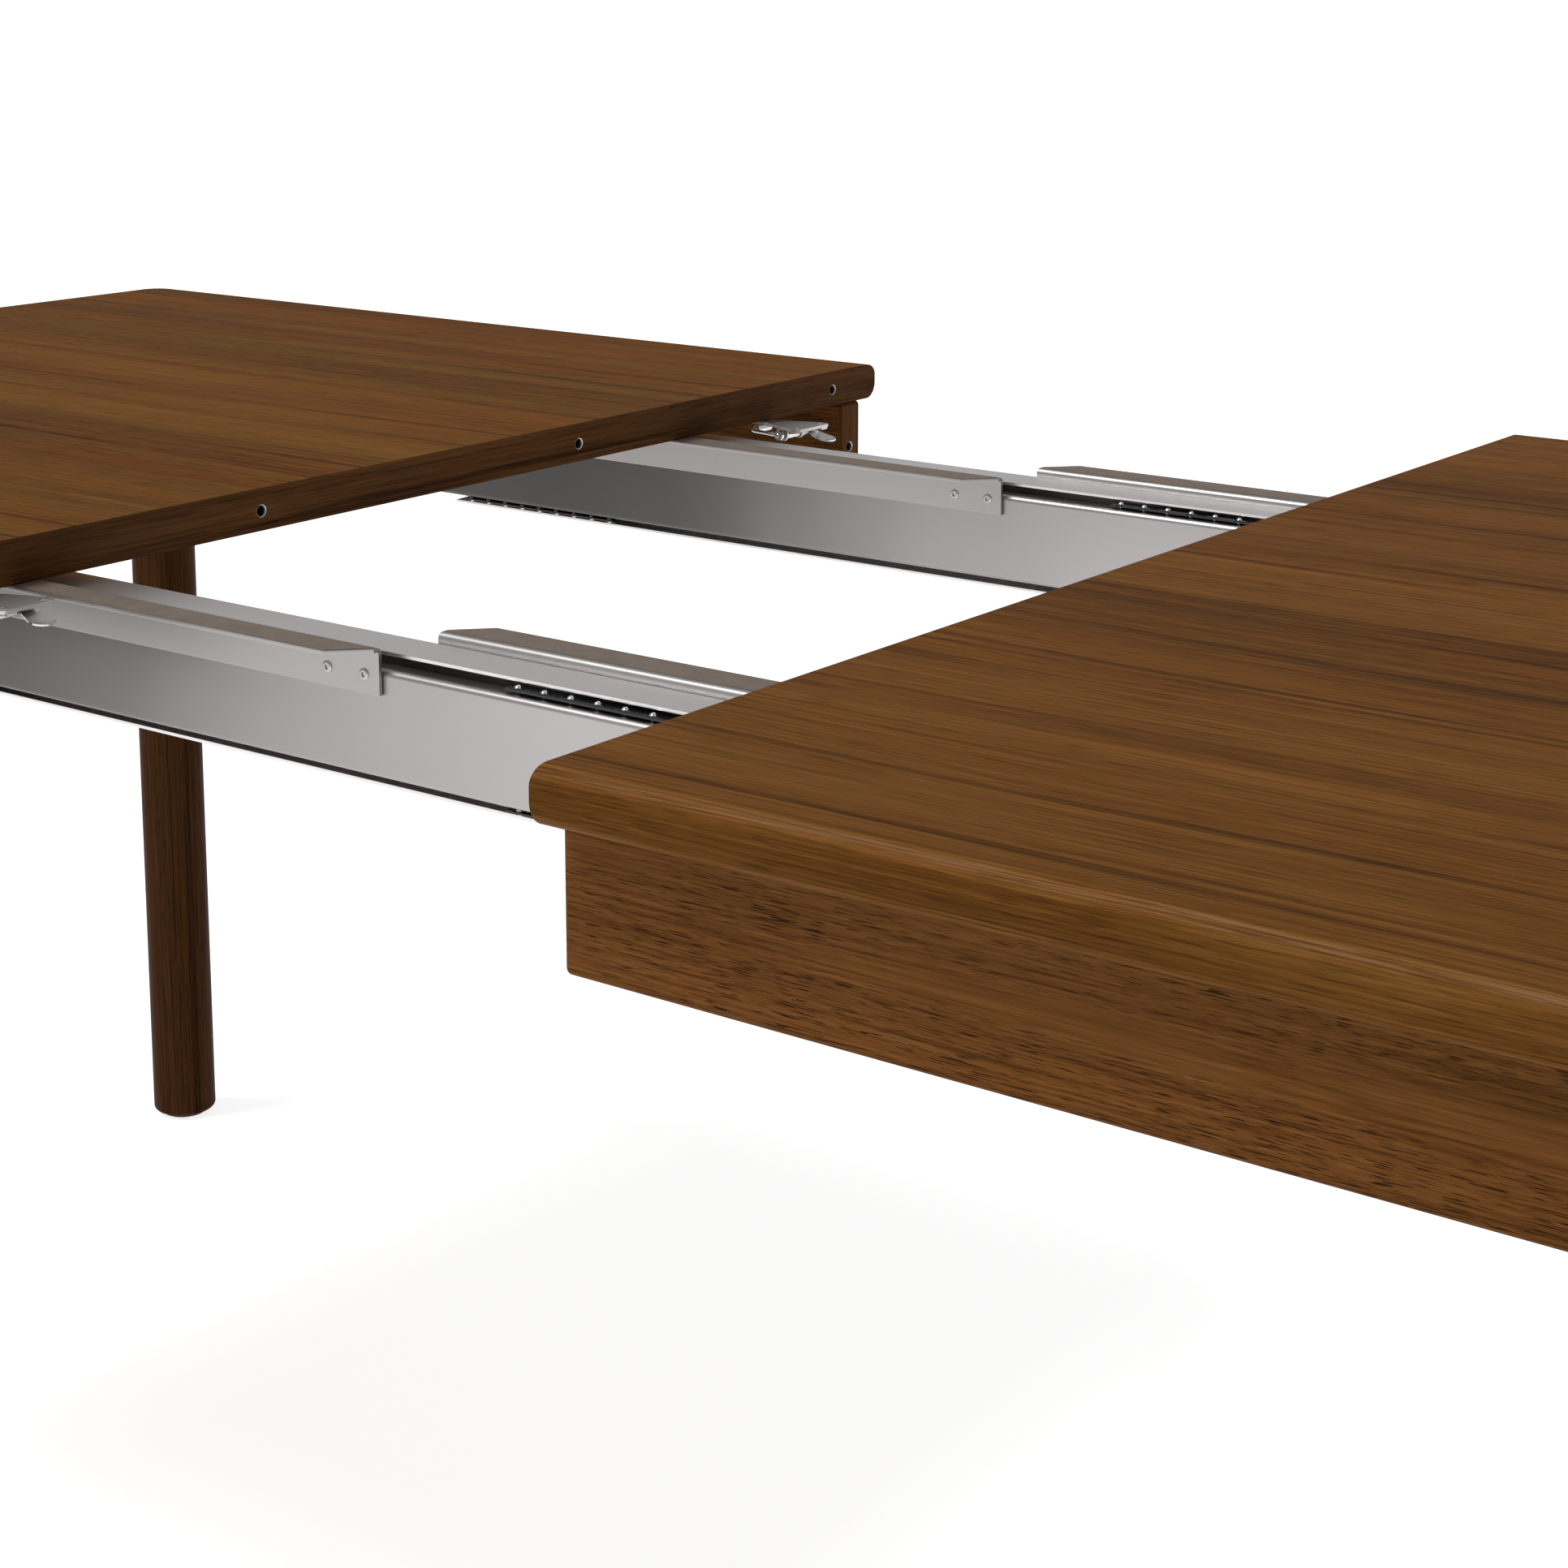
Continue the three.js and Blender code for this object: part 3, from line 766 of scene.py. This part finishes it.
def make_foot(half, edge):
    node = f"{half}_{edge}_felt_foot"
    low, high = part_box(node)
    centre = (low + high) / 2
    radius = (high.x - low.x) / 2
    edge_round = 0.8 * MM
    profile = [(radius - edge_round, low.z)]
    profile += [(radius - 0.3 * MM, low.z + 0.3 * MM), (radius, low.z + edge_round)]
    profile += [(radius, high.z - edge_round), (radius - 0.3 * MM, high.z - 0.3 * MM)]
    profile.append((radius - edge_round, high.z))
    disc = turned(f"{node}_disc", profile, (centre.x, centre.y, 0), "z", 64)
    return piece(disc, node, FELT)


def make_brace(half, side, edge, way):
    """A corner block across the aprons, with two leg bolts, each with a washer and a nut."""
    node = f"{half}_{edge}_corner_brace"
    low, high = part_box(node)
    width = 30 * MM
    near_x, far_x = (low.x, high.x) if side > 0 else (high.x, low.x)
    near_y, far_y = (low.y, high.y) if way > 0 else (high.y, low.y)
    outline = [
        (far_x, near_y + way * width),
        (near_x + side * width, far_y),
        (near_x, far_y),
        (far_x, near_y),
    ]
    body = prism_z(f"{node}_block", outline, low.z, high.z)
    round_edges(body, 1.5 * MM, 3, 30)
    brace = piece(body, node, BRACE_WOOD)
    outward = Vector((side, way, 0)).normalized()
    inner_face = Vector(((near_x + far_x) / 2, (near_y + far_y) / 2, 0))
    hardware = []
    for height in (low.z + 17 * MM, high.z - 17 * MM):
        at = inner_face + Vector((0, 0, height))
        hardware += leg_bolt(at, outward)
    bolts = gather(f"{node}_leg_bolts", hardware)
    piece(bolts, node, DARK_STEEL, replace=False)
    return brace


def leg_bolt(at, outward):
    """A washer, a hexagon nut and the bolt's end, standing in from the brace's face."""
    across = outward.cross(Vector((0, 0, 1))).normalized()
    axis = (-outward, across, Vector((0, 0, 1)))
    washer = turned("washer", [(9 * MM, 0), (9 * MM, 1.1 * MM), (8.7 * MM, 1.4 * MM)], at, axis, 40)
    nut_profile = [(7.4 * MM, 1.4 * MM), (7.5 * MM, 1.7 * MM), (7.5 * MM, 7.4 * MM), (6.6 * MM, 8 * MM)]
    nut = turned("nut", nut_profile, at, axis, 6)
    rings = []
    for k in range(13):
        radius = 4.0 * MM if k % 2 == 0 else 3.6 * MM
        rings.append((radius, 8 * MM + k * 0.5 * MM))
    rings.append((3.2 * MM, 14.8 * MM))
    end = turned("end", rings, at, axis, 24)
    return [washer, nut, end]


for half, side in HALVES:
    make_end_apron(half)
    for edge, way in EDGES:
        make_side_apron(half, side, edge)
        make_leg(half, edge)
        make_foot(half, edge)
        make_brace(half, side, edge, way)


# ---- Slides ----
SHEET = 2 * MM
RAIL_BEND = 3.4 * MM
BRACKET_SHEET = 2.3 * MM
BRACKET_BEND = 3.2 * MM
RIVET_ROW = (12, 37, 420, 445, 880, 905)  # distances from the gap's middle plane
SCREW_ROW = (300, 460, 620, 780, 920)
RIVET_Z = 710 * MM


def channel(open_y, web_y, bottom, top, sheet, bend):
    """The outline of a folded channel: its web at web_y, its flanges ending at open_y."""
    way = 1 if web_y > open_y else -1
    inner = bend - sheet
    low_arc, low_inner = [], []
    for t in quarter():
        low_arc.append((web_y - way * (bend - bend * math.sin(t)), bottom + bend * (1 - math.cos(t))))
        low_inner.append((web_y - way * (bend - inner * math.sin(t)), bottom + bend - inner * math.cos(t)))
    high_arc = [(y, top - (z - bottom)) for y, z in reversed(low_arc)]
    high_inner = [(y, top - (z - bottom)) for y, z in reversed(low_inner)]
    outside = [(open_y, bottom)] + low_arc + high_arc + [(open_y, top)]
    inside = [(open_y, bottom + sheet)] + low_inner + high_inner + [(open_y, top - sheet)]
    return outside + list(reversed(inside))


def quarter(steps=7):
    return [math.radians(90 * k / steps) for k in range(steps + 1)]


def make_rail(edge, kind, web_first):
    node = f"{edge}_{kind}_rail"
    low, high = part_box(node)
    open_y, web_y = (high.y, low.y) if web_first else (low.y, high.y)
    outline = channel(open_y, web_y, low.z, high.z, SHEET, RAIL_BEND)
    rail = prism_x(f"{node}_channel", outline, low.x, high.x)
    round_edges(rail, 0.35 * MM, 2, 50)
    if kind == "inner":
        return piece(rail, node, RAIL_STEEL)
    for material in (OUTER_STEEL, BACK_SHADE_STEEL):
        rail.data.materials.append(material)
    # painted shade: faces on the web's back take the darker copy of the steel
    for face in rail.data.polygons:
        on_back = face.normal.y > 0.5 and face.center.y > web_y - MM
        face.material_index = 1 if on_back else 0
    return piece(rail, node)


def make_bracket(edge, half, side, outward):
    """An angle with its flange's free corner cut off, and brown film on the flange."""
    node = f"{edge}_{half}_bracket"
    low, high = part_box(node)
    plate, tip = (high.y, low.y) if outward < 0 else (low.y, high.y)
    top = high.z
    face = plate + outward * BRACKET_SHEET
    inner = BRACKET_BEND - BRACKET_SHEET
    centre_y, centre_z = plate + outward * BRACKET_BEND, top - BRACKET_BEND
    outer_bend, inner_bend = [], []
    for t in quarter():
        back = outward * math.cos(t)
        outer_bend.append((centre_y - back * BRACKET_BEND, centre_z + BRACKET_BEND * math.sin(t)))
        inner_bend.append((centre_y - back * inner, centre_z + inner * math.sin(t)))
    outline = [(plate, low.z)] + outer_bend
    outline += [(tip, top), (tip, top - BRACKET_SHEET)]
    outline += list(reversed(inner_bend)) + [(face, low.z)]
    angle = prism_x(f"{node}_angle", outline, low.x, high.x)
    end_x = high.x if side < 0 else low.x
    chamfer = 17 * MM
    past = 2 * MM
    corner = [
        (end_x - side * past, tip + outward * past),
        (end_x + side * (chamfer + past), tip + outward * past),
        (end_x - side * past, tip - outward * (chamfer + past)),
    ]
    cut(angle, prism_z("corner", corner, top - 4 * MM, top + 2 * MM))
    round_edges(angle, 0.45 * MM, 2, 50)
    bracket = piece(angle, node, BRACKET_STEEL)
    film_low, film_high = top + 0.02 * MM, top + 0.22 * MM
    margin = 1.2 * MM
    inside = plate + outward * (BRACKET_BEND + 0.4 * MM)
    far_end = low.x if side < 0 else high.x
    film_outline = [
        (far_end, inside),
        (end_x + side * margin, inside),
        (end_x + side * margin, tip - outward * (chamfer + 0.6 * margin)),
        (end_x + side * (chamfer + 0.6 * margin), tip - outward * 0.5 * MM),
        (far_end, tip - outward * 0.5 * MM),
    ]
    film = prism_z(f"{node}_film", film_outline, film_low, film_high)
    piece(film, node, FLANGE_FILM, replace=False)
    return bracket


def rivet(at, out):
    """A semi-tubular rivet: a low dome with a rolled rim and a hollow middle."""
    across = Vector((1, 0, 0))
    axis = (out, across, out.cross(across))
    profile = [
        (3.0 * MM, 0),
        (3.05 * MM, 0.25 * MM),
        (2.8 * MM, 0.62 * MM),
        (2.3 * MM, 0.92 * MM),
        (1.7 * MM, 1.02 * MM),
        (1.25 * MM, 0.88 * MM),
        (1.05 * MM, 0.40 * MM),
        (0.95 * MM, 0.08 * MM),
    ]
    return turned("rivet", profile, at, axis, 32)


def flange_screw(at):
    """A pan-head wood screw seen from below, with a cross recess."""
    profile = [
        (3.9 * MM, 0),
        (3.9 * MM, -0.7 * MM),
        (3.5 * MM, -1.5 * MM),
        (2.4 * MM, -2.05 * MM),
        (0.9 * MM, -2.25 * MM),
    ]
    head = turned("screw", profile, at, "z", 32)
    for turn in (0, 90):
        slot = block("slot", (-2.1 * MM, -0.45 * MM, -3 * MM), (2.1 * MM, 0.45 * MM, -1.1 * MM))
        slot.data.transform(Matrix.Translation(at) @ Matrix.Rotation(math.radians(turn), 4, "Z"))
        cut(head, slot)
    return head


def bracket_fasteners(edge, half, side, outward):
    node = f"{edge}_{half}_bracket"
    low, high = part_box(node)
    plate, tip = (high.y, low.y) if outward < 0 else (low.y, high.y)
    face = plate + outward * BRACKET_SHEET
    out = Vector((0, outward, 0))
    rivets = []
    for distance in RIVET_ROW:
        rivets.append(rivet(Vector((side * distance * MM, face, RIVET_Z)), out))
    piece(gather(f"{node}_rivets", rivets), node, RIVET_STEEL, replace=False)
    screws = []
    middle = (face + tip) / 2
    for distance in SCREW_ROW:
        at = Vector((side * distance * MM, middle, high.z - BRACKET_SHEET))
        screws.append(flange_screw(at))
    piece(gather(f"{node}_screws", screws), node, DARK_STEEL, replace=False)


# ---- Ball cages ----
BALL = 2.2 * MM
PITCH = 16.3 * MM
CAGE_SHEET = 1.2 * MM
BALL_Y = -11.5 * MM


def make_cage(edge, end):
    """A black folded strip with a rim round each ball and a bead beside each pair, and the bright balls."""
    node = f"{edge}_{end}_ball_cage"
    low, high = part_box(node)
    web_y = SLIDE_Y[edge] - 3.3 * MM
    open_y = SLIDE_Y[edge] - 14.8 * MM
    upper, lower = high.z - BALL, low.z + BALL
    half_sheet = CAGE_SHEET / 2
    outline = channel(open_y, web_y, lower - half_sheet, upper + half_sheet, CAGE_SHEET, 1.6 * CAGE_SHEET)
    strip = prism_x(f"{node}_strip", outline, low.x, high.x)
    count = round((high.x - low.x - 12 * MM) / PITCH) + 1
    first = low.x + 6 * MM
    beads, balls = [], []
    y = SLIDE_Y[edge] + BALL_Y
    for k in range(count):
        x = first + k * PITCH
        for z in (lower, upper):
            ball = bpy.data.meshes.new("ball")
            shell = bmesh.new()
            bmesh.ops.create_uvsphere(shell, u_segments=20, v_segments=12, radius=BALL * 0.98)
            bmesh.ops.translate(shell, verts=shell.verts, vec=(x, y, z))
            shell.to_mesh(ball)
            shell.free()
            obj = bpy.data.objects.new("ball", ball)
            bpy.context.scene.collection.objects.link(obj)
            balls.append(obj)
        if k % 2 == 0:
            start = x - 5 * MM
            end_x = min(x + PITCH + 5 * MM, high.x - MM)
            for z, up in ((upper, 1), (lower, -1)):
                bead_z = z + up * (half_sheet + 0.05 * MM)
                path = [(start, y - 1.7 * MM, bead_z), (end_x, y - 1.7 * MM, bead_z)]
                beads.append(rod("bead", path[0], path[1], 0.32 * MM, 12))
        for z, up in ((upper, 1), (lower, -1)):
            profile = [(2.9 * MM, half_sheet * 0.9), (2.9 * MM, half_sheet + 0.35 * MM)]
            profile += [(2.5 * MM, half_sheet + 0.35 * MM), (2.5 * MM, half_sheet * 0.9)]
            rim = [(r, up * h) for r, h in profile]
            beads.append(turned("rim", rim, (x, y, z), "z", 28, loop=True))
    round_edges(strip, 0.2 * MM, 2, 50)
    cage = gather(f"{node}_strip_beads", [strip] + beads)
    piece(cage, node, CAGE_PAINT)
    row = gather(f"{node}_balls", balls)
    piece(row, node, BALL_STEEL, replace=False, angle=80)


for edge, way in EDGES:
    make_rail(edge, "inner", True)
    make_rail(edge, "outer", False)
    for half, side in HALVES:
        outward = -1 if half == "left" else 1
        make_bracket(edge, half, side, outward)
        bracket_fasteners(edge, half, side, outward)
        make_cage(edge, half)


# ---- Alignment pins and sleeves ----
def make_pin(node):
    low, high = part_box(node)
    middle = (low + high) / 2
    radius = (high.z - low.z) / 2
    profile = [(0.6 * MM, 0), (1.4 * MM, 0.15 * MM), (2.2 * MM, 0.6 * MM), (2.65 * MM, 1.3 * MM)]
    profile += [(radius, 2.4 * MM), (radius, high.x - low.x)]
    pin = turned(f"{node}_rod", profile, (low.x, middle.y, middle.z), "x", 40)
    return piece(pin, node, BRIGHT_STEEL)


def make_sleeve(node):
    low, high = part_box(node)
    middle = (low + high) / 2
    outer = (high.z - low.z) / 2
    inner = 3.3 * MM
    length = high.x - low.x
    profile = [
        (inner, length - 1.3 * MM),
        (inner + 0.05 * MM, length - 0.4 * MM),
        (outer - 0.08 * MM, length),
        (outer, length - 0.08 * MM),
        (outer, 0),
        (inner, 0),
    ]
    tube = turned(f"{node}_tube", profile, (low.x, middle.y, middle.z), "x", 40, loop=True)
    tube.data.materials.append(SLEEVE_METAL)
    tube.data.materials.append(SLEEVE_BORE_SHADE)
    # painted shade: the bore's faces take the near-black material
    for face in tube.data.polygons:
        off_axis = math.hypot(face.center.y - middle.y, face.center.z - middle.z)
        in_bore = off_axis < inner + 0.1 * MM and face.center.x < high.x - 1.5 * MM
        face.material_index = 1 if in_bore else 0
    return piece(tube, node)


for index in range(1, 5):
    make_pin(f"top_pin_{index}")
    make_sleeve(f"top_sleeve_{index}")
for edge, way in EDGES:
    make_pin(f"{edge}_apron_pin")
    make_sleeve(f"{edge}_apron_sleeve")


# ---- Toggle latches ----
# u runs into the gap from the left split face, v along that face, and w up from the top's underside.
LATCH_SHEET = 2 * MM
PIVOT_U, PIVOT_W = 21, -6.8
PIVOT_BORE = 1.75 * MM
BARREL_RADIUS = 3.4 * MM
PLATE_SCREWS = ((37, 13.2), (37, -13.2), (8.3, 0), (-22, 0), (-38, 0))  # u and v
PLATE_STUDS = PLATE_SCREWS[:3]  # their ends, seen on the upper face in the gap


class Latch:
    def __init__(self, edge):
        self.edge = edge
        low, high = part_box(f"{edge}_latch_pin")
        self.pivot = (low + high) / 2
        self.y = self.pivot.y
        self.plate_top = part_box(f"{edge}_latch_base")[1].z

    def node(self, name):
        return f"{self.edge}_latch_{name}"

    def at(self, u, v, w):
        return Vector((-SPLIT_X + u * MM, self.y + v * MM, UNDER_Z + w * MM))


def mirrored(points):
    return points + [(u, -v) for u, v in reversed(points)]


def latch_screw(latch, u, v, w):
    """A pan head on the plate's lower face."""
    profile = [(2.6, 0), (2.6, 0.3), (2.3, 0.8), (1.5, 1.1), (0.5, 1.2)]
    return turned("head", [(r * MM, -h * MM) for r, h in profile], latch.at(u, v, w), "z", 28)


def make_latch_base(latch):
    top = latch.plate_top
    bottom = top - LATCH_SHEET
    points = [(-44, 6), (2, 6), (4, 6.3), (33, 17.2)]
    points += [(u, v) for u, v in arc(39, 14.5, 3, 95, 0, 6)]
    outline = [(latch.at(u, v, 0).x, latch.at(u, v, 0).y) for u, v in mirrored(points)]
    plate = prism_z(f"{latch.edge}_latch_base_plate", outline, bottom, top)
    for v in (-1, 1):
        ear = [(PIVOT_U + 4.6, -1.4), (PIVOT_U - 4.6, -1.4)]
        ear += arc(PIVOT_U, PIVOT_W, 4.6, 180, 360, 14)
        ear_outline = [(latch.at(u, 0, w).x, latch.at(u, 0, w).z) for u, w in ear]
        ends = sorted((latch.at(0, v * 8.2, 0).y, latch.at(0, v * 9.8, 0).y))
        join(plate, prism_y("ear", ear_outline, ends[0], ends[1]))
        lip = [(40, -1.4), (42, -1.4), (42, -3)] + arc(41, -3, 1, 0, -180, 6)
        lip_outline = [(latch.at(u, 0, w).x, latch.at(u, 0, w).z) for u, w in lip]
        ends = sorted((latch.at(0, v * 8.2, 0).y, latch.at(0, v * 14.5, 0).y))
        join(plate, prism_y("lip", lip_outline, ends[0], ends[1]))
    cut(plate, rod("bore", latch.at(PIVOT_U, -14, PIVOT_W), latch.at(PIVOT_U, 14, PIVOT_W), PIVOT_BORE, 24))
    round_edges(plate, 0.3 * MM, 2, 45)
    piece(plate, latch.node("base"), PLATE_STEEL)
    heads = [latch_screw(latch, u, v, -2.4) for u, v in PLATE_SCREWS]
    piece(gather(f"{latch.edge}_latch_screws", heads), latch.node("base"), DARK_STEEL, replace=False)
    studs = []
    for u, v in PLATE_STUDS:
        profile = [(2.7 * MM, 0), (2.7 * MM, 0.10 * MM), (2.2 * MM, 0.30 * MM), (1.6 * MM, 0.34 * MM)]
        profile += [(1.2 * MM, 0.12 * MM), (0.4 * MM, 0.08 * MM)]
        studs.append(turned("stud", profile, latch.at(u, v, -0.4), "z", 28))
    piece(gather(f"{latch.edge}_latch_studs", studs), latch.node("base"), BRIGHT_STEEL, replace=False)


def make_latch_pin(latch):
    low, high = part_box(latch.node("pin"))
    radius = (high.z - low.z) / 2
    profile = [(radius * 0.7, 0), (radius, 0.4 * MM), (radius, high.y - low.y - 0.4 * MM)]
    profile += [(radius * 0.7, high.y - low.y)]
    rod_piece = turned(f"{latch.edge}_latch_pin_rod", profile, (latch.pivot.x, low.y, latch.pivot.z), "y", 28)
    piece(rod_piece, latch.node("pin"), BRIGHT_STEEL)


def make_latch_lever(latch):
    """The pressed lever: a barrel on the pin, side wings, a neck and a dished spoon that dips."""
    thick = 0.95
    sections = []
    samples = 48
    start_u, end_u = 21.0, 58.0
    for k in range(samples + 1):
        u = end_u - (end_u - start_u) * (1 - math.sin(math.radians(90 * k / samples)))
        if u <= 32:
            half = 7.0
        elif u <= 40:
            half = 7.0 - 2.0 * math.sin(math.radians(90 * (u - 32) / 8))
        elif u <= 51:
            half = 6.2 - 1.2 * math.cos(math.radians(180 * (u - 40) / 11))
        else:
            half = max(0.25, 7.4 * math.sqrt(max(0.0, 1 - ((u - 51) / 7.0) ** 2)))
        rise = -6.0 + 2.6 * min(1.0, (u - 21) / 19)
        if u > 40:
            fall = (u - 40) / 18
            rise = -3.4 - 4.4 * (1.6 * fall - 0.6 * fall * fall)
        sections.append((u, half, rise))
    rings = []
    across = 8
    for u, half, rise in sections:
        dish = 0.9 if u > 42 else 0.9 * max(0.0, (u - 38) / 4)
        upper, lower = [], []
        for j in range(across + 1):
            t = -1 + 2 * j / across
            sag = -dish * (1 - t * t) * (half / 7.0)
            upper.append(latch.at(u, t * half, rise + sag))
            lower.append(latch.at(u, t * half, rise + sag - thick))
        rings.append(upper + list(reversed(lower)))
    blade = loft(f"{latch.edge}_latch_lever_blade", rings)
    barrel = rod("barrel", latch.at(PIVOT_U, -7, PIVOT_W), latch.at(PIVOT_U, 7, PIVOT_W), BARREL_RADIUS, 40)
    join(blade, barrel)
    cut(blade, rod("bore", latch.at(PIVOT_U, -9, PIVOT_W), latch.at(PIVOT_U, 9, PIVOT_W), PIVOT_BORE, 24))
    round_edges(blade, 0.22 * MM, 2, 50)
    piece(blade, latch.node("lever"), BRIGHT_STEEL, angle=40)


def make_latch_bail(latch):
    """A bent wire loop with an eye at each end, and its roller on the crossbar."""
    cross_u, cross_w = -3, -5.6
    arm, wire, corner = 13.2, 1.25, 3.0
    path = [(PIVOT_U - 3.2, -arm), (cross_u + corner, -arm)]
    path += arc(cross_u + corner, -arm + corner, corner, -100, -180, 8)
    path += [(u, -v) for u, v in reversed(path)]
    slope = (cross_w - PIVOT_W) / (cross_u - PIVOT_U)
    points = [latch.at(u, v, PIVOT_W + (u - PIVOT_U) * slope) for u, v in path]
    loop = sweep(f"{latch.edge}_latch_bail_wire", points, wire * MM, 16)
    for v in (-arm, arm):
        ends = latch.at(PIVOT_U, v - 1.2, PIVOT_W), latch.at(PIVOT_U, v + 1.2, PIVOT_W)
        eye = rod("eye", ends[0], ends[1], BARREL_RADIUS, 40)
        join(loop, eye)
    cut(loop, rod("bore", latch.at(PIVOT_U, -20, PIVOT_W), latch.at(PIVOT_U, 20, PIVOT_W), PIVOT_BORE, 24))
    piece(loop, latch.node("bail"), BRIGHT_STEEL, angle=45)
    low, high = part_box(latch.node("roller"))
    length = high.y - low.y
    middle = (low + high) / 2
    profile = [(1.7 * MM, 0), (2.3 * MM, 0), (2.6 * MM, 0.3 * MM), (2.6 * MM, length - 0.3 * MM)]
    profile += [(2.3 * MM, length), (1.7 * MM, length)]
    drum = turned(f"{latch.edge}_latch_roller_drum", profile, (middle.x, low.y, middle.z), "y", 36, loop=True)
    piece(drum, latch.node("roller"), BRIGHT_STEEL)


def make_latch_keeper(latch):
    node = latch.node("keeper")
    low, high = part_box(node)
    plate_low = high.z - LATCH_SHEET
    plate = block(f"{latch.edge}_latch_keeper_plate", (low.x, low.y, plate_low), high)
    for v in (-1, 1):
        hook = [(0, -1.0), (LATCH_SHEET / MM, -1.0), (LATCH_SHEET / MM, -8.2)] + arc(1, -8.6, 1, 0, -180, 8)
        outline = [(low.x + u * MM, UNDER_Z + w * MM) for u, w in hook]
        ends = sorted((latch.y + v * 9.4 * MM, latch.y + v * 11.4 * MM))
        join(plate, prism_y("prong", outline, ends[0], ends[1]))
    round_edges(plate, 0.35 * MM, 2, 45)
    piece(plate, node, BRIGHT_STEEL)
    heads = []
    for u, v in ((24, -8), (24, 8), (10, 0)):
        at = Vector((low.x + u * MM, latch.y + v * MM, plate_low))
        heads.append(flange_screw(at))
    piece(gather(f"{latch.edge}_latch_keeper_screws", heads), node, DARK_STEEL, replace=False)


for edge, way in EDGES:
    latch = Latch(edge)
    make_latch_base(latch)
    make_latch_pin(latch)
    make_latch_lever(latch)
    make_latch_bail(latch)
    make_latch_keeper(latch)


# ---- Stage and light ----
def make_floor():
    reach = 60
    corners = [(-reach, -reach, 0), (reach, -reach, 0), (reach, reach, 0), (-reach, reach, 0)]
    floor = mesh_object("floor", corners, [(0, 1, 2, 3)])
    g = Graph("floor_white")
    cloud = g.noise(g.place, 2.0, 0.5, 0.0, 0.8)
    g.feed(g.shader.inputs["Base Color"], g.mix(cloud, (0.40, 0.40, 0.40, 1), (0.42, 0.42, 0.42, 1)))
    g.shader.inputs["Roughness"].default_value = 0.9
    g.shader.inputs["Emission Color"].default_value = (1, 1, 1, 1)
    g.shader.inputs["Emission Strength"].default_value = 0.82
    floor.data.materials.append(g.material)


def make_light():
    world = bpy.data.worlds.new("studio")
    world.use_nodes = True
    tree = world.node_tree
    place = tree.nodes.new("ShaderNodeTexCoord")
    split = tree.nodes.new("ShaderNodeSeparateXYZ")
    fall = tree.nodes.new("ShaderNodeMapRange")
    fall.interpolation_type = "SMOOTHSTEP"
    fall.inputs["From Min"].default_value = 0.10
    fall.inputs["From Max"].default_value = 0.60
    fall.inputs["To Min"].default_value = 0.50
    fall.inputs["To Max"].default_value = 0.36
    background = tree.nodes["Background"]
    background.inputs["Color"].default_value = (1, 1, 1, 1)
    tree.links.new(place.outputs["Generated"], split.inputs[0])
    tree.links.new(split.outputs[2], fall.inputs["Value"])
    tree.links.new(fall.outputs[0], background.inputs["Strength"])
    bpy.context.scene.world = world
    data = bpy.data.lights.new("key", "SUN")
    data.energy = 2.2
    data.angle = math.radians(24)
    key = bpy.data.objects.new("key", data)
    key.rotation_euler = Vector((0.40, 0.45, -0.95)).to_track_quat("-Z", "Y").to_euler()
    bpy.context.scene.collection.objects.link(key)


make_floor()
make_light()
bpy.context.scene.view_settings.view_transform = "Standard"
